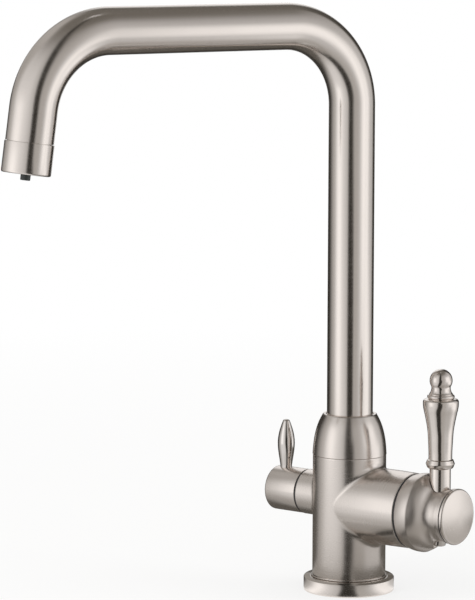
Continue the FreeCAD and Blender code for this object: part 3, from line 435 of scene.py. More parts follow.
# %% The lathe
def lathe(name, origin, axis, outline, rounds=(), steps=96, closed=True):
    """Spins an outline of (distance along the axis, radius), in mm, round the axis. It starts
    on the axis, or else is closed at its first spot. Rounds are (number of spot, radius)."""
    axis = Vector(axis).normalized()
    outward = axis.orthogonal().normalized()
    origin = Vector(origin) * MM
    if closed and outline[0][1] > 0:
        outline = outline + outline[:1]
    spots = [origin + (axis * along + outward * radius) * MM for along, radius in outline]
    piece = draw_outline(name, spots, rounds)
    order = outline_order(piece, spots[0])
    select_all()
    bpy.ops.mesh.spin(steps=steps, angle=-math.tau, center=origin, axis=axis,
                      use_auto_merge=True)
    close_up()
    map_lathe(piece, origin, axis, outward, order)
    return piece


def map_lathe(piece, origin, axis, outward, order):
    """Lays the grain map of a spun piece: U by the outline's length, V round the axis."""
    def reduced(places):
        offset = places - np.array(origin)
        along = offset @ np.array(axis)
        across = offset - np.outer(along, np.array(axis))
        return along, across

    along, across = reduced(vertex_places(piece))
    radius = np.linalg.norm(across, axis=1)
    line_along, line_across = reduced(np.array([list(spot) for spot in order]))
    line_radius = np.linalg.norm(line_across, axis=1)
    step = np.hypot(np.diff(line_along), np.diff(line_radius))
    length = np.concatenate([[0], np.cumsum(step)])
    gap = np.hypot(along[:, None] - line_along[None], radius[:, None] - line_radius[None])
    run = length[gap.argmin(1)]
    side = axis.cross(outward)
    turn = np.arctan2(across @ np.array(side), across @ np.array(outward))
    reach = max(float(line_radius.max()), MM)
    turn = np.where(radius < 1e-6, np.nan, turn) * reach
    lay_grain(piece, run, turn, max(length[-1], MM) * 1.001, 2 * math.pi * reach)


# %% [markdown]
# ## Putting a piece in its place
# A finished piece is shaded smooth except at its sharp edges, takes its finish, rides on the
# body that carries it and stands for the CAD node that it replaces.

# %% Cutting, shading and fitting
def take(piece):
    """Leaves one piece alone selected and makes it the active one."""
    start_alone()
    piece.select_set(True)
    bpy.context.view_layer.objects.active = piece


def apply_modifier(piece, kind, **settings):
    take(piece)
    bpy.ops.object.modifier_add(type=kind)
    modifier = piece.modifiers[-1]
    for key, value in settings.items():
        setattr(modifier, key, value)
    bpy.ops.object.modifier_apply(modifier=modifier.name)


def cut(piece, cutter, operation="DIFFERENCE"):
    """Cuts one closed piece with another, which is then thrown away."""
    apply_modifier(piece, "BOOLEAN", operation=operation, object=cutter, solver="EXACT")
    bpy.data.objects.remove(cutter)


def drill(piece, start, axis, length, radius, steps=64):
    """Drills a round hole from a start point, in mm, along an axis."""
    cut(piece, lathe("drill", start, axis, [(0, 0), (0, radius), (length, radius), (length, 0)],
                     steps=steps))


def fit(piece, finish, body, slot, *nodes, angle=32):
    """Gives a piece its shading, its finish, the body it rides on and the nodes it replaces."""
    take(piece)
    bpy.ops.object.shade_smooth_by_angle(angle=math.radians(angle))
    piece.data.materials.clear()
    piece.data.materials.append(finish)
    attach(piece, body)
    if nodes:
        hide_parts(*nodes)
    print("%s: %d faces, rides on %s" % (piece.name, len(piece.data.polygons), body))


# %% [markdown]
# ## The cast body
# On the real tap the column and its two arms are one casting, and they run into each other
# with a soft valley that fades out at the front, where the two round surfaces nearly agree.
# A bevel along the crossing would be even and hard. Instead a column and two arms are joined
# and remeshed to one skin, and the skin is then laid exactly on a blended surface: where two
# forms meet at a steep angle the valley is as round as the fillet, and where they run the
# same way it vanishes. The mouth, the bores and the ends are cut afterwards, so their edges
# stay crisp.

# %% Rough out the body
COLUMN_R = 22.4
COLUMN_TOP = 84.0
FLANGE_H = 8.6
MIXER_Z = 54.5
MOUTH_X = 48.9
MOUTH_R = 22.77
FILTER_Z = 57.0
FILTER_ARM_R = 13.8
FILTER_ARM_L = 31.43
UPRIGHT = (0, 0, 0), (0, 0, 1)
MIXER_AXIS = (0, 0, MIXER_Z), (1, 0, 0)
FILTER_AXIS = (0, 0, FILTER_Z), (-1, 0, 0)
spare = 3.0
swell_r = MOUTH_R + 0.25
arm_root_r = COLUMN_R - 0.7
arm_line = smooth_line([(0, arm_root_r), (14.4, arm_root_r + (swell_r - arm_root_r) * 0.6),
                        (32, swell_r), (41.295, swell_r - 0.1), (48.65, MOUTH_R)], 60)
arm_line.append((MOUTH_X + spare, MOUTH_R - 0.25))

body = lathe("column_and_arms", *UPRIGHT, [
    (FLANGE_H - spare, 0), (FLANGE_H - spare, COLUMN_R), (COLUMN_TOP + spare, COLUMN_R),
    (COLUMN_TOP + spare, 0)], steps=128)
mixer_arm = lathe("mixer_arm", *MIXER_AXIS, [(0, 0)] + arm_line + [(MOUTH_X + spare, 0)],
                  steps=128)
filter_arm = lathe("filter_arm", *FILTER_AXIS, [
    (0, 0), (0, FILTER_ARM_R), (FILTER_ARM_L + spare, FILTER_ARM_R), (FILTER_ARM_L + spare, 0)])
start_alone()
for rough_form in (body, mixer_arm, filter_arm):
    rough_form.select_set(True)
bpy.context.view_layer.objects.active = body
bpy.ops.object.join()
skin_size = 0.78
apply_modifier(body, "REMESH", mode="VOXEL", voxel_size=skin_size * MM)
print("rough body:", len(body.data.polygons), "faces")

# %% Lay the skin on the blended surface
MIXER_FILLET = 4.0
FILTER_FILLET = 1.8
arm_x, arm_r = np.array(arm_line).T


def blend_two(near, near_normal, other, other_normal, fillet):
    """Joins two distances with a valley of the fillet's radius, by the angle between them."""
    turn = 1 - (near_normal * other_normal).sum(1)
    width = np.maximum(fillet * turn, 1e-6)
    share = np.maximum(width - np.abs(near - other), 0) / width
    return np.minimum(near, other) - share ** 2 * width / 4


def body_distance(places):
    """Distance of each point, in mm, to the blended surface of the column and its arms."""
    x, y, z = places.T
    around = np.hypot(x, y)
    column_normal = np.stack([x / around, y / around, 0 * z], 1)
    column = around - COLUMN_R
    whole = column
    for at_z, profile, side, fillet in ((MIXER_Z, (arm_x, arm_r), 1, MIXER_FILLET),
                                        (FILTER_Z, None, -1, FILTER_FILLET)):
        across = np.hypot(y, z - at_z) + 1e-9
        arm_normal = np.stack([0 * x, y / across, (z - at_z) / across], 1)
        radius = np.interp(x, *profile) if profile else FILTER_ARM_R
        arm = np.where(x * side > 0, across - radius, 1e3)
        whole = np.where(x * side > 0,
                         blend_two(column, column_normal, arm, arm_normal, fillet), whole)
    return whole


places = vertex_places(body) / MM
skin = np.abs(body_distance(places)) < 2.0 * skin_size
for step in range(8):
    chosen = places[skin]
    distance = body_distance(chosen)
    slope = np.stack([(body_distance(chosen + shift) - distance) / 0.01
                      for shift in np.eye(3) * 0.01], 1)
    slope /= np.linalg.norm(slope, axis=1)[:, None]
    places[skin] = chosen - slope * distance[:, None]
body.data.vertices.foreach_set("co", (places * MM).ravel())
body.data.update()
print("skin laid on the surface, largest miss %.4f mm" % np.abs(body_distance(places[skin])).max())

# %% [markdown]
# The ends and bores are cut with turned cutters. Each cutter's outline flares a little where
# it meets the outside, which leaves a small rounded edge on the casting. The mouth is part
# of a ball, in which the lever's hub swings.

# %% Cut the mouth, the ends and the bores
PIVOT_X = 58.0
BALL_R = 23.8
ball_gap = 0.3
edge = 0.4
case_r = 17.6
far = 40.0
mouth_ball = BALL_R + ball_gap
mouth_angle = 180 - math.degrees(math.acos((PIVOT_X - MOUTH_X) / mouth_ball))
seat_angle = 180 - math.degrees(math.asin(19.05 / mouth_ball))
mouth_cutter = lathe("mouth_cutter", *MIXER_AXIS, [
    (17.5, 0), (17.5, case_r), (30.8, case_r), (30.8, 19.05),
    *arc_line((PIVOT_X, 0), mouth_ball, seat_angle, mouth_angle, 14),
    (MOUTH_X, MOUTH_R - edge),
    *[(MOUTH_X - edge + edge * math.cos(t), MOUTH_R - edge + edge * math.sin(t))
      for t in np.radians([15, 30, 45, 60, 75])],
    (MOUTH_X - edge, MOUTH_R + 0.01), (MOUTH_X - edge, far), (far * 2, far), (far * 2, 0),
], steps=160)
cut(body, mouth_cutter)
top_cutter = lathe("top_cutter", *UPRIGHT, [
    (68, 0), (68, 11.6), (82.5, 11.6), (82.5, 16.2), (COLUMN_TOP + 0.01, 16.2),
    (COLUMN_TOP + 0.01, 17), (COLUMN_TOP, COLUMN_R - edge),
    (COLUMN_TOP - edge * 0.3, COLUMN_R - edge * 0.3),
    (COLUMN_TOP - edge, COLUMN_R + 0.01), (COLUMN_TOP - edge, far), (far * 3, far),
    (far * 3, 0)], steps=128)
cut(body, top_cutter)
foot_cutter = lathe("foot_cutter", *UPRIGHT, [
    (-far, 0), (-far, far), (FLANGE_H + 1.3, far), (FLANGE_H + 1.3, 16.05), (22.4, 16.05),
    (22.4, 0)])
for port in ((4.0, 6.2), (4.0, -6.2), (-7.4, 0.0)):
    cut(foot_cutter, lathe("port", (*port, 20), (0, 0, 1), [
        (0, 0), (0, 4.5), (14.4, 4.5), (15.6, 2.8), (24, 2.8), (24, 0)], steps=40), "UNION")
cut(body, foot_cutter)
filter_cutter = lathe("filter_cutter", *FILTER_AXIS, [
    (15.5, 0), (15.5, 9.05), (FILTER_ARM_L, 9.05), (FILTER_ARM_L, FILTER_ARM_R - 0.2),
    (FILTER_ARM_L - 0.06, FILTER_ARM_R - 0.06), (FILTER_ARM_L - 0.2, FILTER_ARM_R + 0.01),
    (FILTER_ARM_L - 0.2, far), (far * 2, far), (far * 2, 0)])
cut(body, filter_cutter)
fit(body, cast_satin, "tap_body", "satin_nickel", "body_casting")

# %% [markdown]
# Two black rings sit just inside the joints: one in the mouth round the ball, one between the left
# arm and its sleeve. They are painted shade: they make the dark lines of shadow in these gaps.

# %% Black rings of painted shade in the joints
# Painted shade: a black ring in the mouth's gap round the ball draws the shadow line there.
mouth_shade_ring = lathe("mouth_painted_shade_ring", *MIXER_AXIS,
              arc_line((PIVOT_X, 0), 24.08, mouth_angle - 2.4, mouth_angle + 4, 6)
              + arc_line((PIVOT_X, 0), 23.84, mouth_angle + 4, mouth_angle - 2.4, 6),
              steps=128)
fit(mouth_shade_ring, rubber, "tap_body", "rubber")
# Painted shade: a black ring between the left arm and its sleeve draws the shadow line there.
sleeve_shade_ring = lathe("sleeve_painted_shade_ring", *FILTER_AXIS, [
    (31.5, 10.6), (31.5, 13.3), (32.65, 13.3), (32.65, 10.6)])
fit(sleeve_shade_ring, rubber, "tap_body", "rubber")

# %% [markdown]
# ## Base flange and foot ring
# The flange stands on the worktop, with a rounded top edge. Above it a thin ring makes the
# two fine dark lines at the foot of the column, so the ring is a piece of its own with a
# small gap to each side.

# %% Base flange and foot ring
foot_ring = lathe("foot_ring", *UPRIGHT, [
    (FLANGE_H + 0.12, 16.2), (FLANGE_H + 0.12, 23.2), (FLANGE_H + 1.18, 23.2),
    (FLANGE_H + 1.18, 22.0), (FLANGE_H + 1.3, 22.0), (FLANGE_H + 1.3, 16.2)],
    rounds=[(1, 0.3), (2, 0.3)], steps=128)
fit(foot_ring, satin, "tap_body", "satin_nickel")

flange = lathe("foot_flange", *UPRIGHT, [
    (2, 25.5), (0, 25.5), (0, 27.7), (FLANGE_H, 27.7), (FLANGE_H, 16.2), (0, 16.2),
    (0, 20.5), (2, 20.5)], rounds=[(2, 0.25), (3, 1.0)], steps=128)
fit(flange, satin, "tap_body", "satin_nickel", "base_flange")

# %% [markdown]
# ## Swivel collar
# The ogive ring screws onto the column and holds the spout down. Its curve starts upright,
# flush with the column, and closes towards the tube, where a thin rounded lip leaves a dark
# gap. The seam to the column is a fine groove.

# %% Swivel collar
COLLAR_TOP = 109.0
collar_curve = smooth_line([
    (84.3, 22.6), (92.3, 21.9), (98.55, 20.66), (104.8, 18.48), (108.75, 16.4)], 40)
collar = lathe("swivel_collar", *UPRIGHT, [(84.05, 18.05), (84.05, 22.3)] + collar_curve + [
    (COLLAR_TOP, 16.0), (COLLAR_TOP, 14.6), (108.6, 14.3), (103, 14.3), (100.3, 17),
    (93.35, 17), (93.35, 14.3), (90.35, 14.3), (90.35, 18.05)], steps=128)
fit(collar, satin, "tap_body", "satin_nickel", "spout_collar")

# %% [markdown]
# ## The swan neck spout
# One tube, bent twice in one plane. By hand: a circle is extruded up to the first bend, spun
# round the bend's centre, extruded along the run, spun again, and extruded down the leg; a
# Solidify modifier gives it its wall. The grain map follows the tube's centre line, so that
# the brushed lines run round the tube in the bends as well.

# %% The spout's route
TUBE_R = 14.0
SPOUT_TOP = 345.4
SPOUT_REACH, LEG_DROP = 211.0, 80.4
spout_heading = math.radians(19.5)
leg_tilt = math.radians(8.05)
outward_dir = Vector((-math.sin(spout_heading), -math.cos(spout_heading), 0))
leg_dir = outward_dir * math.sin(leg_tilt) - Vector((0, 0, math.cos(leg_tilt)))
swing_axis = Vector((0, 0, 1)).cross(outward_dir)
near_corner = Vector((0, 0, SPOUT_TOP))
far_corner = near_corner + outward_dir * SPOUT_REACH
outlet = far_corner + leg_dir * (LEG_DROP / math.cos(leg_tilt))
near_bend, far_bend = 48.0, 50.0
far_turn = math.pi / 2 - leg_tilt
far_cut = far_bend * math.tan(far_turn / 2)
HOUSING_L = 18.4
riser_foot = 87.11
tube_end = outlet - leg_dir * (HOUSING_L + 0.05)
print("outlet at", [round(value, 2) for value in outlet])

# %% The spout's tube
start_alone()
bpy.ops.mesh.primitive_circle_add(vertices=96, radius=TUBE_R * MM)
spout = bpy.context.active_object
spout.name = spout.data.name = "swan_spout"
bpy.ops.object.mode_set(mode="EDIT")
select_all()
bpy.ops.transform.translate(value=(0, 0, riser_foot * MM))


def run_on(start, end, parts):
    """Extrudes the open end of the tube along a straight run, in a few equal lengths."""
    for part in range(parts):
        bpy.ops.mesh.extrude_region_move(
            TRANSFORM_OT_translate={"value": (end - start) * MM / parts})


def bend_round(centre, turn, steps):
    bpy.ops.mesh.spin(steps=steps, angle=-turn, center=centre * MM, axis=swing_axis)


near_start = near_corner - Vector((0, 0, near_bend))
near_end = near_corner + outward_dir * near_bend
far_start = far_corner - outward_dir * far_cut
far_end = far_corner + leg_dir * far_cut
run_on(Vector((0, 0, riser_foot)), near_start, 12)
bend_round(near_start + outward_dir * near_bend, math.pi / 2, 40)
run_on(near_end, far_start, 8)
bend_round(far_start - Vector((0, 0, far_bend)), far_turn, 40)
run_on(far_end, tube_end, 2)
close_up()
print("tube:", len(spout.data.polygons), "faces")

# %% The tube's grain map and wall
places = vertex_places(spout) / MM
out_way = places @ np.array(outward_dir)
cross_way = places @ np.array(swing_axis)
height = places[:, 2]
near_centre = (near_bend, SPOUT_TOP - near_bend)
far_centre = (SPOUT_REACH - far_cut, SPOUT_TOP - far_bend)
near_angle = np.arctan2(height - near_centre[1], near_centre[0] - out_way)
far_angle = np.arctan2(out_way - far_centre[0], height - far_centre[1])
on_riser = (height < near_centre[1]) & (out_way < near_bend)
on_near = ~on_riser & (out_way < near_bend)
on_run = ~on_riser & ~on_near & (out_way <= far_centre[0])
on_far = ~on_riser & ~on_near & ~on_run & (far_angle < far_turn)
on_leg = ~(on_riser | on_near | on_run | on_far)
stretches = [on_riser, on_near, on_run, on_far, on_leg]
to_near = near_centre[1]
to_run = to_near + near_bend * math.pi / 2
to_far = to_run + far_centre[0] - near_bend
to_leg = to_far + far_bend * far_turn
run = np.select(stretches, [
    height, to_near + near_angle * near_bend, to_run + out_way - near_bend,
    to_far + far_angle * far_bend, to_leg + (places - np.array(far_end)) @ np.array(leg_dir)])
leg_inward = np.array(swing_axis.cross(leg_dir))
inner_way = np.select(stretches, [
    out_way, near_bend - np.hypot(out_way - near_centre[0], height - near_centre[1]),
    SPOUT_TOP - height, far_bend - np.hypot(out_way - far_centre[0], height - far_centre[1]),
    (places - np.array(outlet)) @ leg_inward])
turn = np.arctan2(cross_way, inner_way)
lay_grain(spout, run * MM, turn * TUBE_R * MM, 10.0, 2 * math.pi * TUBE_R * MM)
apply_modifier(spout, "SOLIDIFY", thickness=1.3 * MM, offset=-1)
fit(spout, smooth_satin, "spout", "satin_nickel", "spout_tube")

# %% [markdown]
# ## The end of the spout
# The end fitting is turned, brushed, a little thicker than the tube, with a rounded rim.
# Inside sits a jet former with a ring of holes, and in its middle the grey nozzle of the
# filtered water stands a little proud. All are turned about the leg, measured up from the
# outlet's face.

# %% End fitting, jet former and nozzle
up_leg = -leg_dir
HOUSING_R = 14.4
end_ring = lathe("spout_end_ring", outlet, up_leg, [
    (0, 11.6), (0, HOUSING_R), (HOUSING_L - 0.25, HOUSING_R), (HOUSING_L - 0.25, 12.9),
    (HOUSING_L, 12.9), (HOUSING_L, 12.65), (26.4, 12.65), (26.4, 10.2), (12.2, 10.2),
    (12.2, 11.6)], rounds=[(1, 1.1), (2, 0.2)])
fit(end_ring, smooth_satin, "spout", "satin_nickel", "aerator_housing")

NOZZLE_R = 2.9
nozzle = lathe("filtered_water_nozzle", outlet, up_leg, [
    (13.9, 2.0), (-3.5, 2.0), (-3.5, NOZZLE_R), (9.05, NOZZLE_R), (9.05, 4.3), (20.0, 4.3),
    (20.0, 3.05), (13.9, 3.05)], rounds=[(1, 0.2), (2, 0.5)], steps=64)
fit(nozzle, grey_plastic, "spout", "dark_plastic", "filter_nozzle")

former = lathe("jet_former", outlet, up_leg, [
    (1.4, 2.95), (1.4, 10.0), (2.2, 10.0), (2.2, 11.4), (9.0, 11.4), (9.0, 2.95)],
    rounds=[(1, 0.3), (3, 0.3)])
ring_side = up_leg.orthogonal().normalized()
for k in range(12):
    spin = Matrix.Rotation(math.tau * k / 12, 3, up_leg)
    drill(former, outlet + spin @ ring_side * 7.4, up_leg, 12, 1.2, steps=20)
fit(former, grey_plastic, "spout", "dark_plastic", "aerator_insert")

# %% [markdown]
# ## The ball hub
# The hub's back is part of a ball that swings in the mouth. It draws in to a waist, and ends
# in a small bead. A hole on top takes the handle's stem, and one below takes a button.

# %% Ball hub
HUB_END = 78.6
WAIST_R = 15.9
HANDLE_X = 67.9
HANDLE_AXIS = (HANDLE_X, 0, 0), (0, 0, 1)
GRIP_FOOT = 82.9
drop, neck_l = BALL_R - WAIST_R, 20.6
hub_curve = smooth_line(
    [(PIVOT_X + 1.25, BALL_R * 0.9986)]
    + [(PIVOT_X + neck_l * along, BALL_R - drop * down)
       for along, down in ((0.21, 0.22), (0.35, 0.52), (0.45, 0.81))]
    + [(PIVOT_X + neck_l * 0.58, WAIST_R + 0.105), (HUB_END - 3.8, WAIST_R)], 44)
hub = lathe("ball_hub", *MIXER_AXIS,
            arc_line((PIVOT_X, 0), BALL_R, 131, 88, 30)[:-1] + hub_curve + [
                (HUB_END - 2.3, WAIST_R - 0.3), (HUB_END - 1.8, WAIST_R - 0.3),
                (HUB_END - 1.7, WAIST_R + 0.7), (HUB_END - 0.4, WAIST_R + 0.7),
                (HUB_END - 0.4, 16.1), (HUB_END, 16.1), (HUB_END, 12.05), (HUB_END - 2.4, 12.05),
                (HUB_END - 2.4, 0), (64.5, 0), (64.5, 13.5), (PIVOT_X, 19.0)]
            + arc_line((PIVOT_X, 0), 21.4, 103, 125, 8), steps=160)
drill(hub, (HANDLE_X, 0, MIXER_Z + 9), (0, 0, 1), 20, 6.8, steps=96)
drill(hub, (HANDLE_X, 0, MIXER_Z), (0, 0, -1), 25, 3.75)
fit(hub, hub_satin, "mixer_lever", "satin_nickel", "lever_hub")

# %% [markdown]
# ## End cap and button
# The cap closes the hub: a flat disc with a rounded rim and a very low crown. A black ring in the
# gap to the hub's bead is painted shade: it draws the dark line of shadow there. The button is
# polished.

# %% End cap and button
CAP_R = 16.9
cap = lathe("hub_end_cap", *MIXER_AXIS, [
    (76.3, 0), (76.3, 12.0), (78.65, 12.0), (78.65, 16.1), (78.95, 16.1), (78.95, CAP_R),
    (81.25, CAP_R), (81.25, 15.6), *dome_line(81.28, 15.5, 82.15, 14)],
    rounds=[(5, 0.35), (6, 1.05), (7, 0.12)], steps=160)
fit(cap, satin, "mixer_lever", "satin_nickel", "lever_cap")
# Painted shade: a black ring in the gap between the cap and the hub's bead draws the shadow line
# there.
cap_painted_shade_ring = lathe("cap_painted_shade_ring", *MIXER_AXIS, [
    (78.25, 16.12), (78.25, 16.4), (78.9, 16.4), (78.9, 16.12)], steps=128)
fit(cap_painted_shade_ring, rubber, "mixer_lever", "rubber")

button_top, button_foot = MIXER_Z - 10.1, MIXER_Z - WAIST_R - 3.0
button = lathe("hub_button", *HANDLE_AXIS, [
    (button_top, 0), (button_top, 3.7), (button_foot, 3.7),
    *dome_line(button_foot, 3.0, button_foot - 0.25, 8)], rounds=[(2, 0.7)], steps=64)
fit(button, polished, "mixer_lever", "polished_nickel", "hub_plug")

# %% [markdown]
# ## The mixer handle
# Three turned pieces on one rod: a plain stem, a grip with a pointed bead at its foot, a slim
# waist and a swelling shoulder, and a ball finial that sits on a sharp ring.

# %% Stem, grip and finial
stem = lathe("handle_neck", *HANDLE_AXIS, [
    (63.6, 2.6), (63.6, 6.35), (GRIP_FOOT - 0.1, 6.35), (GRIP_FOOT - 0.1, 2.6)],
    rounds=[(2, 0.2)])
fit(stem, bright_satin, "mixer_lever", "satin_nickel", "handle_stem")

GRIP_TOP = 124.6
WAIST_Z = 88.3
rise = GRIP_TOP - 1.7 - WAIST_Z
grip_curve = smooth_line([(WAIST_Z + rise * up, 7.1 + 3.65 * out) for up, out in (
    (0, 0), (0.142, 0.014), (0.318, 0.096), (0.494, 0.205), (0.673, 0.485), (0.815, 0.767),
    (0.922, 0.973), (1, 1))], 60)
grip = lathe("turned_grip", *HANDLE_AXIS, [
    (GRIP_FOOT, 2.6), (GRIP_FOOT, 7.4), (83.4, 7.9), (84.8, 8.4), (85.6, 8.75), (86.4, 8.4),
    (87.8, 7.9)] + grip_curve + arc_line((GRIP_TOP - 1.7, 9.05), 1.7, 80, 0, 8)
    + [(GRIP_TOP, 2.6)], rounds=[(4, 0.35)])
fit(grip, bright_satin, "mixer_lever", "satin_nickel", "handle_grip")

BALL_FINIAL_R = 6.85
finial_top = 142.6
ball_z = finial_top - BALL_FINIAL_R
finial = lathe("ball_finial", *HANDLE_AXIS, [
    (GRIP_TOP + 0.05, 2.6), (GRIP_TOP + 0.05, 7.2), (125.0, 7.2), (125.0, 7.9), (126.4, 8.35),
    (127.2, 7.6), (127.3, 7.0), (127.6, 7.0), (127.7, 7.15), (128.15, 6.8)]
    + smooth_line([(128.5, 6.5), (130.2, 5.87), (132.03, 5.75)], 8)
    + arc_line((ball_z, 0), BALL_FINIAL_R, 122.9, 0, 30)[1:]
    + [(133, 0), (133, 2.6)], rounds=[(3, 0.2), (4, 0.5)])
fit(finial, bright_satin, "mixer_lever", "satin_nickel", "handle_finial")

# %% [markdown]
# ## The filtered water valve
# A plain round sleeve turns on the left arm, with a dark seam between them, which is painted shade
# drawn by a black ring in the joint. Its lever is a slim polished spindle, thickest at its middle.

# %% Sleeve and lever for filtered water
FILTER_LEVER_X = -49.1
SLEEVE_R = 13.65
sleeve = lathe("filter_sleeve", *FILTER_AXIS, [
    (32.7, 10.5), (32.7, SLEEVE_R), (55.8, SLEEVE_R), (55.8, 0), (46.5, 0), (46.5, 4.05),
    (42.5, 4.05), (42.5, 10.5)], rounds=[(1, 0.15), (2, 1.3)], steps=128)
drill(sleeve, (FILTER_LEVER_X, 0, FILTER_Z + 9.2), (0, 0, 1), 10, 3.65)
fit(sleeve, satin, "filter_tap", "satin_nickel", "filter_knob")

lever_foot = FILTER_Z + SLEEVE_R
lever_top = FILTER_Z + 43.3
height = lever_top - lever_foot
lever_curve = smooth_line(
    [(lever_foot + 0.75, 3.6)] + [(lever_foot + height * up, radius) for up, radius in (
        (0.16, 4.19), (0.36, 5.05), (0.54, 5.25), (0.76, 4.19))] + [(lever_top - 0.82, 2.05)], 48)
filter_lever = lathe("filter_lever_spindle", (FILTER_LEVER_X, 0, 0), (0, 0, 1), [
    (61.3, 0), (61.3, 2.0), (66.25, 2.0), (66.25, 3.6)] + lever_curve
    + dome_line(lever_top - 0.82, 2.05, lever_top, 10))
fit(filter_lever, polished, "filter_tap", "polished_nickel", "filter_lever")

# %% [markdown]
# ## Under the worktop
# The shank is a brass pipe with a real helical thread: one tooth of the thread is drawn and
# a Screw modifier winds it up, its ends are cut square, and it is bored out.

# %% Threaded shank
THREAD_PITCH = 1.5
SHANK_R = 16.0
SHANK_FOOT, SHANK_TOP = -62.0, 22.0


def threaded_rod(name, radius, depth, pitch, foot, top, steps):
    """A solid rod on Z with a helical thread, made by winding up one tooth."""
    tooth = [(0, radius - depth), (0.42, radius), (0.58, radius), (1, radius - depth)]
    rod = draw_outline(name, [Vector((r, 0, foot - pitch + share * pitch)) * MM
                              for share, r in tooth])
    bpy.ops.object.mode_set(mode="OBJECT")
    turns = math.ceil((top - foot) / pitch) + 2
    apply_modifier(rod, "SCREW", axis="Z", angle=math.tau, screw_offset=pitch * MM,
                   iterations=turns, steps=steps, render_steps=steps, use_merge_vertices=True,
                   merge_threshold=0.001 * MM)
    bpy.ops.object.mode_set(mode="EDIT")
    select_all()
    bpy.ops.mesh.remove_doubles(threshold=0.001 * MM)
    for height, keep_above in ((foot, True), (top, False)):
        select_all()
        bpy.ops.mesh.bisect(plane_co=(0, 0, height * MM), plane_no=(0, 0, 1), use_fill=True,
                            clear_inner=keep_above, clear_outer=not keep_above)
    select_all()
    bpy.ops.mesh.normals_make_consistent(inside=False)
    bpy.ops.object.mode_set(mode="OBJECT")
    return rod


shank = threaded_rod("threaded_shank", SHANK_R, 0.9, THREAD_PITCH, SHANK_FOOT, SHANK_TOP, 48)
for foot, side in ((SHANK_FOOT, 1), (SHANK_TOP, -1)):
    point = lathe("end_taper", (0, 0, foot), (0, 0, side), [
        (-1, 14.2), (-1, 20), (2, 20), (2, 17.2)])
    cut(shank, point)
drill(shank, (0, 0, SHANK_FOOT - 1), (0, 0, 1), 90, 13.4, steps=96)
fit(shank, brass_z, "tap_body", "brass", "mounting_shank", angle=25)

# %% [markdown]
# The nut is sawn from a six sided brass bar and turned, so a six sided cylinder is crossed
# with a turned form, which takes its corners off, and bored. A small bevel breaks its edges.

# %% Nut
nut_top, nut_h, across_flats = -43.0, 9, 44
start_alone()
bpy.ops.mesh.primitive_cylinder_add(vertices=6, rotation=(0, 0, math.pi / 6),
                                    radius=across_flats / 2 / math.cos(math.pi / 6) * MM,
                                    depth=nut_h * MM)
nut = bpy.context.active_object
nut.name = nut.data.name = "fixing_nut"
bpy.ops.transform.translate(value=(0, 0, (nut_top - nut_h / 2) * MM))
bpy.ops.object.transform_apply(location=True, rotation=True, scale=True)
cut(nut, lathe("nut_corners", (0, 0, nut_top), (0, 0, -1), [
    (0, 0), (0, 23.6), (1.2, 25.5), (7.4, 25.5), (nut_h, 23.8), (nut_h, 0)]), "INTERSECT")
cut(nut, lathe("nut_bore", (0, 0, nut_top), (0, 0, -1), [
    (-1, 0), (-1, 18.0), (1, 16.06), (8, 16.06), (10, 18.0), (10, 0)]))
apply_modifier(nut, "BEVEL", width=0.25 * MM, segments=2, limit_method="ANGLE",
               angle_limit=math.radians(28))
fit(nut, brass_z, "fixing_set", "brass", "mounting_nut")

# %% [markdown]
# ## Finishes of the pieces inside
# The cartridge, the valve and the swivel are shown by their CAD nodes as they are. Each gets
# the finish of its slot, turned metals by the way their axis lies.

# %% Dress the CAD nodes that stay
slot_of = {part["node"]: part["material_slot"] for part in frame["record"]["subparts"]}
by_slot = {"satin_nickel": cast_satin, "polished_nickel": polished, "brass": brass_z,
           "rubber": rubber, "white_plastic": acetal, "dark_plastic": grey_plastic,
           "disc_ceramic": ceramic, "steel": steel_z}
lying = {"cartridge_nut": brass_x, "filter_headwork": brass_x, "filter_spindle": brass_x,
         "lever_spindle": steel_x, "pivot_pin": steel_x}
for node_name, node in frame["nodes"].items():
    finish = lying.get(node_name, by_slot[slot_of[node_name]])
    node.data.materials.clear()
    node.data.materials.append(finish)
print("dressed", len(frame["nodes"]), "CAD nodes")

# %% [markdown]
# ## The studio
# The tap stands under a white sky. What looks at the sky directly, the camera, a reflection
# or clear glass, sees plain white. As soft light it is weaker, so that pale pieces keep
# their tone.

# %% World
scene = bpy.context.scene
scene.view_settings.view_transform = "Standard"
scene.world = bpy.data.worlds.new("white studio")


def bare_tree(owner):
    """The node tree of a world or a material, emptied."""
    owner.use_nodes = True
    owner.node_tree.nodes.clear()
    return owner.node_tree


def seen_directly(tree):
    """1 for what the camera, a reflection or clear glass sees, 0 for soft light."""
    path = add_node(tree, "LightPath").outputs
    seen = calc(tree, "MAXIMUM", path["Is Camera Ray"], path["Is Glossy Ray"])
    return calc(tree, "MAXIMUM", seen, path["Is Transmission Ray"])


tree = bare_tree(scene.world)
soft_light = add_node(tree, "Background", {"Color": (1, 0.99, 0.98, 1), "Strength": 0.75})
white = add_node(tree, "Background", {"Color": (1, 1, 1, 1), "Strength": 1.0})
mix = add_node(tree, "MixShader", {0: seen_directly(tree), 1: soft_light.outputs[0],
                                   2: white.outputs[0]})
add_node(tree, "OutputWorld", {"Surface": mix.outputs[0]})

# %% [markdown]
# The floor is white paper, wide enough to reach the skyline. Its own glow keeps it pale, and
# its matt share, which is largest near the tap, keeps the tap's soft shadow.

